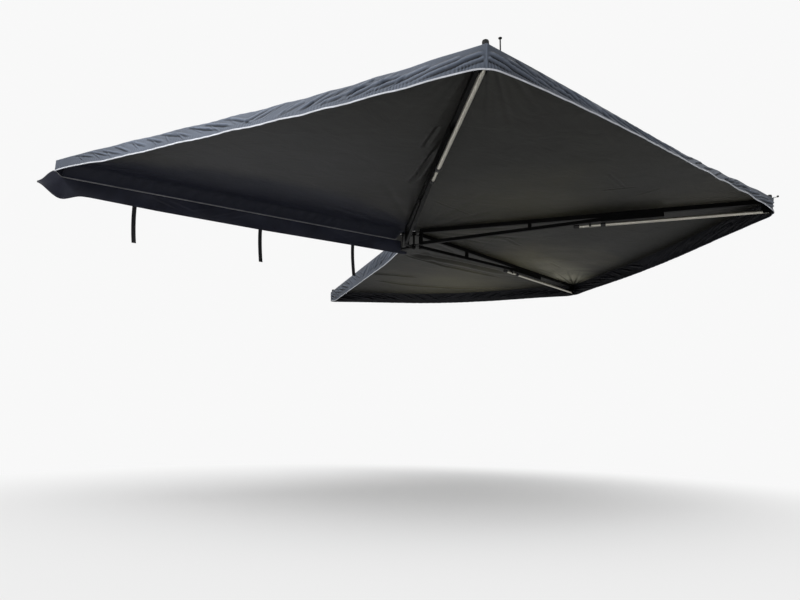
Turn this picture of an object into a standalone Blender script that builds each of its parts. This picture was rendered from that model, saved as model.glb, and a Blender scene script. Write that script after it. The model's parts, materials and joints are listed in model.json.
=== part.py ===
"""Free-standing 270 degree side awning for a roof rack, opened, at its real size.

The origin is the middle of the mounting rail's back face, which lies against the roof rack.
+X runs along the rail to the hub, +Y points to the vehicle and +Z is up.
Four arms turn on one upright pivot bolt at the end of the rail and carry four panels of canopy.
Each arm is a rafter with a strut under it, and holds a telescopic leg that folds down at its tip.
"""

from math import atan2, cos, pi, radians, sin, tan

import bmesh
import bpy
from mathutils import Matrix, Vector

MM = 0.001
CLEARANCE = 0.3 * MM
WELD_DISTANCE = 0.01 * MM

# Layout of the opened awning
ARM_COUNT = 4
CORNER_PAST_RAIL = 61 * MM        # canopy's corner beyond the rail's far end
CORNER_SPREAD = radians(65.1)     # angle between neighbouring corners
ARM_PITCH = 32 * MM               # arms lie side by side at this pitch when closed
LAST_ARM_OFFSET = -26 * MM        # the last arm's plane, beside the pivot
CANOPY_Z = 71.5 * MM              # top of the canopy above the rail's middle
CANOPY_THICK = 1.5 * MM

# Mounting rail
RAIL_LENGTH = 2400 * MM
RAIL_DEPTH = 30 * MM
RAIL_HEIGHT = 116 * MM
RAIL_WALL = 3 * MM
TRACK_Z = 10 * MM
TRACK_RADIUS = 4.2 * MM
TRACK_SLOT = 3 * MM
TRACK_LIP = 1.5 * MM
BOLT_CHANNEL_Z = 30 * MM
BOLT_CHANNEL_OPENING = 8.8 * MM
BOLT_CHANNEL_WIDTH = 14 * MM
BOLT_CHANNEL_LIP = 2.5 * MM
BOLT_CHANNEL_DEEP = 6 * MM
END_CAP_THICK = 5 * MM
END_CAP_PLUG = 18 * MM

# Hub bracket and pivot
PIVOT_BEYOND_RAIL = 45 * MM
PIVOT_BEFORE_RAIL = 105 * MM      # pivot to the rail's front face
PIVOT_RADIUS = 8 * MM
PIVOT_HEAD_RADIUS = 14 * MM
PIVOT_HEAD_THICK = 4.2 * MM
PIVOT_NUT_ACROSS = 24 * MM
PIVOT_NUT_THICK = 11 * MM
PIVOT_THREAD_PROUD = 4 * MM
EAR_THICK = 6 * MM
EAR_RADIUS = 16 * MM
EAR_ARC_START = radians(25)       # round the pivot, where the ear leaves the neck
EAR_ARC_SWEEP = radians(205)
NECK_NEAR = 37 * MM               # the ear's neck, measured back from the pivot along the rail
NECK_FAR = 58 * MM
NECK_START = 66 * MM
SADDLE_LENGTH = 60 * MM
END_PLATE_THICK = 5 * MM
HUB_BOLT_RADIUS = 4 * MM
HUB_BOLT_HEAD_RADIUS = 7.5 * MM
HUB_BOLT_HEAD_THICK = 5 * MM
HEAD_CHAMFER = 1 * MM               # on the turned heads of the hub's bolts and pivot
HUB_BOLT_INSET = (22 * MM, 45 * MM)

# Rack brackets
BRACKET_X = (-700 * MM, 700 * MM)
BRACKET_WIDTH = 60 * MM
BRACKET_THICK = 6 * MM
BRACKET_HEIGHT = 96 * MM
BRACKET_SHELF = 80 * MM
BRACKET_SLOT_WIDTH = 9 * MM
BRACKET_SLOT_LENGTH = 40 * MM
BRACKET_SLOT_SPACING = 30 * MM
RACK_BOLT_RADIUS = 4 * MM
RACK_BOLT_HEAD_ACROSS = 13 * MM
RACK_BOLT_HEAD_THICK = 5.3 * MM
RACK_BOLT_THREAD_PROUD = 3 * MM

# Arms
LUG_THICK = 5 * MM
LUG_GAP = 0.5 * MM
LUG_HALF_WIDTH = 12 * MM
LUG_BOSS_RADIUS = 14 * MM
LUG_KNEE_X = 42 * MM
POST_START = 64 * MM
POST_DEPTH = 20 * MM
POST_HALF_WIDTH = 11 * MM
RAFTER_WIDTH = 24 * MM
RAFTER_HEIGHT = 30 * MM
RAFTER_TOP_GAP = 0.5 * MM         # under the canopy
RAFTER_WALL = 2 * MM
TUBE_CHAMFER = 1.5 * MM
RAFTER_BEFORE_CORNER = 45 * MM     # rafter's end, short of the canopy's corner
SPIGOT_LENGTH = 40 * MM
STRUT_HEIGHT = 25 * MM
STRUT_INNER_DROP = 115 * MM       # the strut's centre line at the hub, under the canopy
STRUT_PAST_LEG_TUBE = 7 * MM       # strut's end, past the inner end of the leg's outer tube
LINK_AT = (800 * MM, 910 * MM, 665 * MM, 800 * MM)
LINK_LENGTH = 26 * MM
GUSSET_BEFORE_STRUT_END = 38 * MM
GUSSET_LENGTH = 418 * MM
GUSSET_WALL = 2.2 * MM
GUSSET_DROP = 4 * MM              # floor of the gusset under the strut's end
GUSSET_LIP = 4 * MM               # rafter left bare above the gusset's sides

# Tip bracket
TIP_HEAD_LENGTH = 31 * MM
TIP_HEAD_BELOW = 4 * MM            # below the rafter
TIP_CHEEK_THICK = 2.2 * MM
TIP_CHEEK_BACK = 29 * MM           # cheeks from before the rafter's end to past it
TIP_CHEEK_AHEAD = 17 * MM
TIP_CHEEK_BELOW_LEG = 14.5 * MM
TIP_CHEEK_BELOW_TOP = 8 * MM       # cheeks under the rafter's top
TIP_NUB_AHEAD = 13 * MM
TIP_NUB_HALF_WIDTH = 9 * MM
TIP_NUB_PROUD = 26 * MM
TIP_TAB_THICK = 3 * MM
TIP_TAB_BACK = 56 * MM
TIP_TAB_LENGTH = 20 * MM
TIP_TAB_STEP = 0.5 * MM            # side tab above the tab that it joins
TIP_TAB_PAST_PIN = 6 * MM
NUB_EDGE = 1 * MM                  # nub and tab set back from the faces they join
GUY_PIN_SIDE = 82 * MM
GUY_PIN_BACK = 46 * MM
GUY_PIN_RADIUS = 3 * MM
GUY_PIN_LENGTH = 88 * MM
GUY_PIN_HEAD_RADIUS = 8 * MM
GUY_PIN_HEAD_THICK = 3 * MM

# Legs, stowed under their rafters
LEG_DROP = 84 * MM                # leg centre line under the canopy
LEG_PIVOT_BACK = 6 * MM
LEG_PIN_RADIUS = 4 * MM
LEG_RADIUS = 12 * MM
LEG_WALL = 1.7 * MM
LEG_PAST_PIVOT = 14 * MM
LEG_TUBE_LENGTH = 1026 * MM
INNER_RADIUS = 10 * MM
INNER_WALL = 1.5 * MM
INNER_OUT = 193 * MM               # inner tube out of the outer one when stowed
INNER_LENGTH = 950 * MM
COLLAR_RADIUS = 15 * MM
COLLAR_FLUTE_DEPTH = 1.2 * MM
COLLAR_FLUTES = 10
COLLAR_LENGTH = 34 * MM
FOOT_RADIUS = 13 * MM
FOOT_SOLE = 28 * MM
FOOT_GRIP = 12 * MM
FOOT_ROUNDING = 3 * MM
CLIP_BEFORE_TUBE = 106 * MM        # clip's middle, back from the outer tube's end
CLIP_LENGTH = 14 * MM
CLIP_HALF_WIDTH = 14 * MM
CLIP_BELOW_LEG = 9.5 * MM

# Canopy
VALANCE_DROP = 110 * MM
EDGE_SAG = 28 * MM
VALANCE_FOLD = 12 * MM
VALANCE_HEAD = 1.5 * MM           # valance in front of the edge that it hangs from
SHORT_WAVE = 172 * MM             # folds along the valance
LONG_WAVE = 290 * MM
LONG_WAVE_SHARE = 0.6             # of the short folds' depth
VALANCE_CALM = 0.125              # share of its length that lies still at each end
VALANCE_ROWS = (0.3, 0.65, 1.0)
SEAM_GAP = 1.1 * MM
NUB_HOLE_RADIUS = 13.5 * MM
CANOPY_COLUMNS = 24
SHEET_STATIONS = (0.01, 0.08, 0.22, 0.45, 0.7, 0.93, 0.98, 1.0)
RAIL_SIDE_STATIONS = (0.01, 0.018, 0.0245, 0.048, 0.24, 0.45, 0.7, 0.925, 0.98, 1.0)
HUB_EDGE_INSET = 8 * MM           # rail-side edge at the hub, beside the line to the corner
TRACK_EDGE_GAP = 2.8 * MM         # rail-side edge in front of the rail
TRACK_EDGE_LEAVES = 46 * MM       # from the pivot, where that edge turns back to the rail
TRACK_EDGE_BACK = 60 * MM         # where it is in front of the rail, over the hub bracket
TRACK_EDGE_ARRIVES = 120 * MM     # where it is down at the track
TRACK_EDGE_LETS_GO = 45 * MM      # before the corner, where it curls forward to it
TRACK_EDGE_CORNER_DROP = 66 * MM  # under the canopy, at the corner
LAST_EDGE_SIDE = 18 * MM          # last panel's edge beyond the last arm's plane
LAST_EDGE_REACH = 14 * MM         # last corner past the others, clear of its tip bracket
LAST_VALANCE_START = 0.08         # share of the last edge that has no valance
LAST_VALANCE_GROWS = 0.16         # share of it over which the valance deepens
LAST_VALANCE_LEAST = 0.3          # of its full drop
FIRST_VALANCE_LEAST = 0.64        # of its full drop, at the rail's corner
FIRST_VALANCE_COLUMNS = 6
TRACK_SEAM_ACROSS = 0.006         # share across the first panel where its rail band is sewn on

# Cover bag, opened and hanging from the rail's track
BAG_THICK = 2 * MM
BAG_FRONT_GAP = 4.2 * MM
BAG_TUCK = 3 * MM                  # flap's hem turned back
BAG_HUB_END = 62 * MM             # measured back from the pivot
BAG_DROP = 105 * MM
BAG_STEPS = 6
BAG_ROWS = (0.33, 0.67, 1.0)
BAG_BULGE = 3 * MM
BAG_WAVE = 698 * MM               # length of the strip's slow in and out
BAG_TONGUE_ENDS = 30 * MM         # tongue leaves the track this far before the rail's end
FLAP_SHAPE = (                    # loose flap: past the rail, drop of top and bottom edge, forward
    (-12 * MM, 0, 130 * MM, 0),
    (14 * MM, 0, 139 * MM, 0),
    (45 * MM, -36 * MM, 128 * MM, 2 * MM),
    (82 * MM, -40 * MM, 106 * MM, 8 * MM),
    (100 * MM, 7 * MM, 88 * MM, 12 * MM),
    (122 * MM, 36 * MM, 72 * MM, 18 * MM),
    (148 * MM, 56 * MM, 62 * MM, 24 * MM),
)
STRAP_WIDTH = 27 * MM
STRAP_THICK = 1.8 * MM
STRAP_LENGTH = 240 * MM
STRAP_CURL = 18 * MM
STRAP_ROWS = 6
STRAP_AT = (485 * MM, 1210 * MM, 2040 * MM)

CORNER_REACH = PIVOT_BEYOND_RAIL + RAIL_LENGTH + CORNER_PAST_RAIL    # pivot to a canopy corner
PIVOT = Vector((RAIL_LENGTH / 2 + PIVOT_BEYOND_RAIL, -RAIL_DEPTH - PIVOT_BEFORE_RAIL, 0))
RAFTER_TOP = CANOPY_Z - CANOPY_THICK - RAFTER_TOP_GAP
RAFTER_Z = RAFTER_TOP - RAFTER_HEIGHT / 2
RAFTER_BOTTOM = RAFTER_TOP - RAFTER_HEIGHT
EAR_FACE = RAIL_HEIGHT / 2 + CLEARANCE
POST_END = POST_START + POST_DEPTH
RAFTER_END = CORNER_REACH - RAFTER_BEFORE_CORNER
TIP_CHEEK_START = RAFTER_END - TIP_CHEEK_BACK
TIP_CHEEK_END = RAFTER_END + TIP_CHEEK_AHEAD
TIP_NUB_START = RAFTER_END + TIP_NUB_AHEAD
TIP_TAB_START = RAFTER_END - TIP_TAB_BACK
GUY_PIN_X = RAFTER_END - GUY_PIN_BACK
LEG_PIVOT_X = RAFTER_END - LEG_PIVOT_BACK
LEG_TUBE_START = LEG_PIVOT_X + LEG_PAST_PIVOT - LEG_TUBE_LENGTH
INNER_START = LEG_TUBE_START - INNER_OUT
CLIP_AT = LEG_TUBE_START - CLIP_BEFORE_TUBE
STRUT_END = LEG_TUBE_START + STRUT_PAST_LEG_TUBE
GUSSET_START = STRUT_END - GUSSET_BEFORE_STRUT_END
GUSSET_END = GUSSET_START + GUSSET_LENGTH
STRUT_INNER_Z = CANOPY_Z - STRUT_INNER_DROP
STRUT_OUTER_Z = RAFTER_BOTTOM - CLEARANCE - STRUT_HEIGHT / 2
STRUT_SLOPE = atan2(STRUT_OUTER_Z - STRUT_INNER_Z, STRUT_END - POST_END)
LEG_Z = CANOPY_Z - LEG_DROP
GUSSET_FLOOR = STRUT_OUTER_Z - STRUT_HEIGHT / 2 - GUSSET_DROP
TAB_Z = CANOPY_Z + 2 * CLEARANCE   # underside of the first tip bracket's tab
LAST_EDGE_OFFSET = LAST_ARM_OFFSET - LAST_EDGE_SIDE


def arm_offset(arm):
    """Distance from the pivot to an arm's plane, on the side that trails when it opens."""
    return LAST_ARM_OFFSET + ARM_PITCH * (ARM_COUNT - arm)


def corner_angle(corner):
    """Direction from the pivot to a corner of the canopy; corner 0 is the rail's far end."""
    return pi + CORNER_SPREAD * corner


def arm_angle(arm):
    """Direction of an arm that ends at its corner of the canopy."""
    return corner_angle(arm) + atan2(arm_offset(arm), CORNER_REACH)


def material(name, colour, roughness, metallic=0.0):
    made = bpy.data.materials.new(name)
    made.use_nodes = True
    shader = made.node_tree.nodes["Principled BSDF"]
    shader.inputs["Base Color"].default_value = (*colour, 1.0)
    shader.inputs["Roughness"].default_value = roughness
    shader.inputs["Metallic"].default_value = metallic
    made.diffuse_color = (*colour, 1.0)
    return made


def clear_scene():
    for existing in list(bpy.data.objects):
        bpy.data.objects.remove(existing, do_unlink=True)


def new_object(name, data, collection):
    made = bpy.data.objects.new(name, data)
    collection.objects.link(made)
    return made


def place(name, mesh, finish, parent=None, location=(0, 0, 0)):
    """Puts a finished mesh in the awning's collection under its own name."""
    made = new_object(name, mesh, AWNING)
    mesh.materials.clear()
    mesh.materials.append(finish)
    made.location = location
    made.parent = parent
    return made


def axis_empty(name, location, angle=0.0, parent=None):
    made = new_object(name, None, AWNING)
    made.location = location
    made.rotation_euler = (0, 0, angle)
    made.parent = parent
    return made


def mesh_from(bm, name):
    mesh = bpy.data.meshes.new(name)
    bmesh.ops.recalc_face_normals(bm, faces=bm.faces)
    bm.to_mesh(mesh)
    bm.free()
    return mesh


def box_mesh(name, low, high):
    """Box from its lowest to its highest corner."""
    bm = bmesh.new()
    bmesh.ops.create_cube(bm, size=1.0)
    low, high = Vector(low), Vector(high)
    for vert in bm.verts:
        share = vert.co + Vector((0.5, 0.5, 0.5))
        vert.co = Vector(a + (b - a) * t for a, b, t in zip(low, high, share))
    return mesh_from(bm, name)


def cylinder_mesh(name, radius, start, end, segments=24):
    """Cylinder between two points."""
    start, end = Vector(start), Vector(end)
    axis = end - start
    turn = axis.to_track_quat("Z", "Y").to_matrix().to_4x4()
    bm = bmesh.new()
    bmesh.ops.create_cone(
        bm, cap_ends=True, segments=segments, radius1=radius, radius2=radius, depth=axis.length,
        matrix=Matrix.Translation((start + end) / 2) @ turn)
    return mesh_from(bm, name)


def circle_points(radius, segments=24, centre=(0, 0)):
    step = 2 * pi / segments
    return [(centre[0] + radius * cos(step * i), centre[1] + radius * sin(step * i))
            for i in range(segments)]


def rectangle_points(half_width, half_height, chamfer=0.0, centre=(0, 0)):
    if not chamfer:
        corners = [(1, 1, 0, 0), (-1, 1, 0, 0), (-1, -1, 0, 0), (1, -1, 0, 0)]
    else:
        corners = [(1, 1, 0, 1), (1, 1, 1, 0), (-1, 1, 1, 0), (-1, 1, 0, 1),
                   (-1, -1, 0, 1), (-1, -1, 1, 0), (1, -1, 1, 0), (1, -1, 0, 1)]
    return [(centre[0] + sx * (half_width - chamfer * cx), centre[1] + sy * (half_height - chamfer * cy))
            for sx, sy, cx, cy in corners]


def outline_mesh(name, outlines, start, end, upright=False):
    """Flat outline with holes, extruded along Z, or along X with the outline in the YZ plane."""
    curve = bpy.data.curves.new(name, "CURVE")
    curve.dimensions = "2D"
    curve.fill_mode = "BOTH"
    curve.extrude = (end - start) / 2
    for outline in outlines:
        spline = curve.splines.new("POLY")
        spline.points.add(len(outline) - 1)
        for point, (x, y) in zip(spline.points, outline):
            point.co = (x, y, 0, 1)
        spline.use_cyclic_u = True
    holder = new_object(name + "_outline", curve, GUIDES)
    bpy.context.view_layer.update()
    evaluated = holder.evaluated_get(bpy.context.evaluated_depsgraph_get())
    mesh = bpy.data.meshes.new_from_object(evaluated)
    bpy.data.objects.remove(holder, do_unlink=True)
    middle = (start + end) / 2
    if upright:
        turn = Matrix(((0, 0, 1, middle), (1, 0, 0, 0), (0, 1, 0, 0), (0, 0, 0, 1)))
    else:
        turn = Matrix.Translation((0, 0, middle))
    mesh.transform(turn)
    bm = bmesh.new()
    bm.from_mesh(mesh)
    bmesh.ops.remove_doubles(bm, verts=bm.verts, dist=WELD_DISTANCE)
    bmesh.ops.recalc_face_normals(bm, faces=bm.faces)
    bm.to_mesh(mesh)
    bm.free()
    mesh.materials.clear()
    return mesh


def turned_mesh(name, profile, segments=24):
    """Turns a profile of (radius, height) points, given down the outer side, round the Z axis."""
    bm = bmesh.new()
    verts = [bm.verts.new((radius, 0, height)) for radius, height in profile]
    for first, second in zip(verts, verts[1:]):
        bm.edges.new((first, second))
    if profile[0][0] > 0:
        bm.edges.new((verts[-1], verts[0]))
    mesh = bpy.data.meshes.new(name)
    bm.to_mesh(mesh)
    bm.free()
    holder = new_object(name + "_profile", mesh, GUIDES)
    screw = holder.modifiers.new("Turn", "SCREW")
    screw.steps = segments
    screw.render_steps = segments
    screw.use_merge_vertices = True
    screw.merge_threshold = WELD_DISTANCE
    return baked(holder)


def baked(holder):
    """Mesh of an object with its modifiers applied; the object itself is removed."""
    bpy.context.view_layer.update()
    evaluated = holder.evaluated_get(bpy.context.evaluated_depsgraph_get())
    mesh = bpy.data.meshes.new_from_object(evaluated)
    bpy.data.objects.remove(holder, do_unlink=True)
    return mesh


def combined(name, base, added=(), removed=()):
    """Base mesh with others joined to it and then others cut from it."""
    holder = new_object(name + "_base", base, GUIDES)
    helpers = []
    for operation, meshes in (("UNION", added), ("DIFFERENCE", removed)):
        for index, mesh in enumerate(meshes):
            helper = new_object(f"{name}_{operation.lower()}_{index}", mesh, GUIDES)
            helper.hide_render = True
            helper.display_type = "WIRE"
            modifier = holder.modifiers.new(helper.name, "BOOLEAN")
            modifier.operation = operation
            modifier.solver = "EXACT"
            modifier.object = helper
            helpers.append(helper)
    mesh = baked(holder)
    for helper in helpers:
        bpy.data.objects.remove(helper, do_unlink=True)
    return mesh


def smooth(mesh, angle=radians(35)):
    mesh.shade_smooth()
    mesh.set_sharp_from_angle(angle=angle)
    return mesh


def hexagon_points(across, centre=(0, 0)):
    radius = across / 2 / cos(pi / 6)
    return circle_points(radius, 6, centre)


def rail_outline():
    """Section of the rail as (y, z), with the track in front and two bolt channels behind."""
    front = -RAIL_DEPTH
    half = RAIL_HEIGHT / 2
    centre_y = front + TRACK_LIP + TRACK_RADIUS
    mouth = atan2(TRACK_SLOT / 2, TRACK_RADIUS)
    steps = 10
    groove = [(centre_y - TRACK_RADIUS * cos(mouth + (2 * pi - 2 * mouth) * i / steps),
               TRACK_Z - TRACK_RADIUS * sin(mouth + (2 * pi - 2 * mouth) * i / steps))
              for i in range(steps + 1)]
    points = [(front, -half), (front, TRACK_Z - TRACK_SLOT / 2)]
    points += groove
    points += [(front, TRACK_Z + TRACK_SLOT / 2), (front, half), (0, half)]
    for middle in (BOLT_CHANNEL_Z, -BOLT_CHANNEL_Z):
        opening = BOLT_CHANNEL_OPENING / 2
        wide = BOLT_CHANNEL_WIDTH / 2
        lip = -BOLT_CHANNEL_LIP
        deep = lip - BOLT_CHANNEL_DEEP
        points += [(0, middle + opening), (lip, middle + opening), (lip, middle + wide),
                   (deep, middle + wide), (deep, middle - wide), (lip, middle - wide),
                   (lip, middle - opening), (0, middle - opening)]
    points.append((0, -half))
    return points


def rail_cavity():
    """Hollow of the rail as (y, z), clear of the channels and the track."""
    front = -RAIL_DEPTH + RAIL_WALL
    channel = -BOLT_CHANNEL_LIP - BOLT_CHANNEL_DEEP - RAIL_WALL
    back = -RAIL_WALL
    half = RAIL_HEIGHT / 2 - RAIL_WALL
    over = BOLT_CHANNEL_Z + BOLT_CHANNEL_WIDTH / 2 + RAIL_WALL
    under = BOLT_CHANNEL_Z - BOLT_CHANNEL_WIDTH / 2 - RAIL_WALL
    track_back = -RAIL_DEPTH + TRACK_LIP + 2 * TRACK_RADIUS + RAIL_WALL
    track_under = TRACK_Z - TRACK_RADIUS - RAIL_WALL
    track_over = TRACK_Z + TRACK_RADIUS + RAIL_WALL
    return [(front, -half), (front, track_under), (track_back, track_under), (track_back, track_over),
            (front, track_over), (front, half), (back, half), (back, over), (channel, over),
            (channel, under), (back, under), (back, -under), (channel, -under), (channel, -over),
            (back, -over), (back, -half)]


def mounting_rail():
    mesh = outline_mesh("mounting_rail", [rail_outline(), rail_cavity()],
                        -RAIL_LENGTH / 2, RAIL_LENGTH / 2, upright=True)
    holes = []
    for inset in HUB_BOLT_INSET:
        x = RAIL_LENGTH / 2 - inset
        y = -RAIL_DEPTH / 2
        holes.append(cylinder_mesh("rail_hole", HUB_BOLT_RADIUS + CLEARANCE,
                                   (x, y, -RAIL_HEIGHT), (x, y, RAIL_HEIGHT), 16))
    place("mounting_rail", combined("mounting_rail", mesh, removed=holes), ALUMINIUM)


def rail_end_cap():
    """Plastic cap on the rail's far end, with a plug inside the hollow."""
    end = -RAIL_LENGTH / 2
    cap = box_mesh("cap", (end - CLEARANCE - END_CAP_THICK, -RAIL_DEPTH, -RAIL_HEIGHT / 2),
                   (end - CLEARANCE, 0, RAIL_HEIGHT / 2))
    low = RAIL_WALL + CLEARANCE
    channel_back = BOLT_CHANNEL_LIP + BOLT_CHANNEL_DEEP + RAIL_WALL + CLEARANCE
    plug_top = TRACK_Z - TRACK_RADIUS - RAIL_WALL - CLEARANCE
    plug = box_mesh("plug", (end - END_CAP_THICK / 2, -RAIL_DEPTH + low, -RAIL_HEIGHT / 2 + low),
                    (end + END_CAP_PLUG, -channel_back, plug_top))
    place("rail_end_cap", combined("rail_end_cap", cap, added=[plug]), BLACK_PLASTIC)


def ear_outline():
    """Hub bracket's ear as (x, y) about the pivot: round the bolt, a neck, and a saddle on the rail."""
    saddle_front = PIVOT_BEFORE_RAIL
    saddle_back = PIVOT_BEFORE_RAIL + RAIL_DEPTH
    far = PIVOT_BEYOND_RAIL + SADDLE_LENGTH
    steps = 14
    angles = [EAR_ARC_START - EAR_ARC_SWEEP * i / steps for i in range(steps + 1)]
    arc = [(EAR_RADIUS * cos(angle), EAR_RADIUS * sin(angle)) for angle in angles]
    rest = [(-NECK_FAR, NECK_START), (-NECK_FAR, saddle_front), (-far, saddle_front),
            (-far, saddle_back), (-NECK_NEAR, saddle_back), (-NECK_NEAR, NECK_START)]
    return arc + rest


def hub_bracket():
    def about_pivot(points):
        return [(PIVOT.x + x, PIVOT.y + y) for x, y in points]

    bore = circle_points(PIVOT_RADIUS + CLEARANCE, 24)
    bolts = [circle_points(HUB_BOLT_RADIUS + CLEARANCE, 16,
                           (-PIVOT_BEYOND_RAIL - inset, PIVOT_BEFORE_RAIL + RAIL_DEPTH / 2))
             for inset in HUB_BOLT_INSET]
    outlines = [about_pivot(points) for points in (ear_outline(), bore, *bolts)]
    top = outline_mesh("ear_top", outlines, EAR_FACE, EAR_FACE + EAR_THICK)
    bottom = outline_mesh("ear_bottom", outlines, -EAR_FACE - EAR_THICK, -EAR_FACE)
    plate_end = PIVOT.x - PIVOT_BEYOND_RAIL + CLEARANCE
    plate = box_mesh("end_plate",
                     (plate_end, -RAIL_DEPTH + RAIL_WALL, -EAR_FACE - EAR_THICK / 2),
                     (plate_end + END_PLATE_THICK, -RAIL_WALL, EAR_FACE + EAR_THICK / 2))
    place("hub_bracket", smooth(combined("hub_bracket", plate, added=[top, bottom])), BLACK_STEEL)


def hub_pivot():
    """Pivot bolt with a low head under the canopy, and the nut that holds it from below."""
    top = EAR_FACE + EAR_THICK + CLEARANCE
    bottom = -EAR_FACE - EAR_THICK - CLEARANCE - PIVOT_NUT_THICK - PIVOT_THREAD_PROUD
    head_top = top + PIVOT_HEAD_THICK
    profile = [(0, head_top), (PIVOT_HEAD_RADIUS - HEAD_CHAMFER, head_top),
               (PIVOT_HEAD_RADIUS, head_top - HEAD_CHAMFER), (PIVOT_HEAD_RADIUS, top),
               (PIVOT_RADIUS, top), (PIVOT_RADIUS, bottom + HEAD_CHAMFER),
               (PIVOT_RADIUS - HEAD_CHAMFER, bottom), (0, bottom)]
    place("hub_pivot_bolt", smooth(turned_mesh("pivot", profile)), ZINC, location=PIVOT)
    nut_top = -EAR_FACE - EAR_THICK - CLEARANCE
    nut = outline_mesh("pivot_nut", [hexagon_points(PIVOT_NUT_ACROSS),
                                     circle_points(PIVOT_RADIUS + CLEARANCE)],
                       nut_top - PIVOT_NUT_THICK, nut_top)
    place("hub_pivot_nut", nut, ZINC, location=PIVOT)


def hub_bracket_bolts():
    for number, inset in enumerate(HUB_BOLT_INSET, 1):
        top = EAR_FACE + EAR_THICK + CLEARANCE
        bottom = -EAR_FACE - EAR_THICK - CLEARANCE
        head = HUB_BOLT_HEAD_RADIUS
        head_top = top + HUB_BOLT_HEAD_THICK
        profile = [(0, head_top), (head - HEAD_CHAMFER, head_top),
                   (head, head_top - HEAD_CHAMFER), (head, top), (HUB_BOLT_RADIUS, top),
                   (HUB_BOLT_RADIUS, bottom), (head, bottom), (head, bottom - HUB_BOLT_HEAD_THICK),
                   (0, bottom - HUB_BOLT_HEAD_THICK)]
        centre = (RAIL_LENGTH / 2 - inset, -RAIL_DEPTH / 2, 0)
        place(f"hub_bracket_bolt_{number}", smooth(turned_mesh("hub_bolt", profile, 16)), ZINC,
              location=centre)


def rack_brackets():
    """Angle brackets bolted to the rail's upper channel, with a slotted shelf for the rack."""
    back = CLEARANCE
    half = BRACKET_HEIGHT / 2
    section = [(back, -half), (back + BRACKET_THICK, -half), (back + BRACKET_THICK, half - BRACKET_THICK),
               (back + BRACKET_SHELF, half - BRACKET_THICK), (back + BRACKET_SHELF, half), (back, half)]
    mesh = outline_mesh("rack_bracket", [section], -BRACKET_WIDTH / 2, BRACKET_WIDTH / 2, upright=True)
    slot_start = back + BRACKET_SHELF / 2 + BRACKET_THICK / 2
    cuts = []
    for side in (-1, 1):
        x = side * BRACKET_SLOT_SPACING / 2
        cuts.append(box_mesh("slot", (x - BRACKET_SLOT_WIDTH / 2, slot_start - BRACKET_SLOT_LENGTH / 2, 0),
                             (x + BRACKET_SLOT_WIDTH / 2, slot_start + BRACKET_SLOT_LENGTH / 2, half * 2)))
    cuts.append(cylinder_mesh("bolt_hole", RACK_BOLT_RADIUS + CLEARANCE,
                              (0, -BRACKET_SHELF, BOLT_CHANNEL_Z), (0, BRACKET_SHELF, BOLT_CHANNEL_Z), 16))
    mesh = combined("rack_bracket", mesh, removed=cuts)
    for name, x in zip(("rack_bracket_front", "rack_bracket_rear"), reversed(BRACKET_X)):
        place(name, mesh if name.endswith("front") else mesh.copy(), BLACK_STEEL, location=(x, 0, 0))


def rack_bolts():
    """One bolt a bracket: its square head slides in the rail's channel and its nut is outside."""
    inside = -BOLT_CHANNEL_LIP - CLEARANCE
    head_half = BOLT_CHANNEL_WIDTH / 2 - CLEARANCE
    outside = CLEARANCE + BRACKET_THICK + CLEARANCE
    for name, x in zip(("rack_bolt_front", "rack_bolt_rear"), reversed(BRACKET_X)):
        head = box_mesh("head", (x - head_half, inside - RACK_BOLT_HEAD_THICK, BOLT_CHANNEL_Z - head_half),
                        (x + head_half, inside, BOLT_CHANNEL_Z + head_half))
        shank_start = inside - RACK_BOLT_HEAD_THICK / 2
        shank_end = outside + RACK_BOLT_HEAD_THICK + RACK_BOLT_THREAD_PROUD
        shank = cylinder_mesh("shank", RACK_BOLT_RADIUS, (x, shank_start, BOLT_CHANNEL_Z),
                              (x, shank_end, BOLT_CHANNEL_Z), 16)
        nut = outline_mesh("nut", [hexagon_points(RACK_BOLT_HEAD_ACROSS)],
                           outside, outside + RACK_BOLT_HEAD_THICK)
        nut.transform(Matrix.Translation((x, 0, BOLT_CHANNEL_Z)) @ Matrix.Rotation(-pi / 2, 4, "X"))
        place(name, combined(name, head, added=[shank, nut]), ZINC)


def lug_outline(offset):
    """Lug as (x, y) in the arm's frame: round the bolt, aside to the arm's plane, then along it."""
    side = -offset
    half = LUG_HALF_WIDTH
    lean = atan2(side, LUG_KNEE_X)
    step = tan(lean / 2) * half
    inside_post = POST_START + POST_DEPTH / 2
    start = lean + pi / 2
    steps = 12
    arc = [(LUG_BOSS_RADIUS * cos(start + pi * i / steps), LUG_BOSS_RADIUS * sin(start + pi * i / steps))
           for i in range(steps + 1)]
    knee_left = (LUG_KNEE_X - step, side + half)
    knee_right = (LUG_KNEE_X + step, side - half)
    return arc + [knee_right, (inside_post, side - half), (inside_post, side + half), knee_left]


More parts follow.
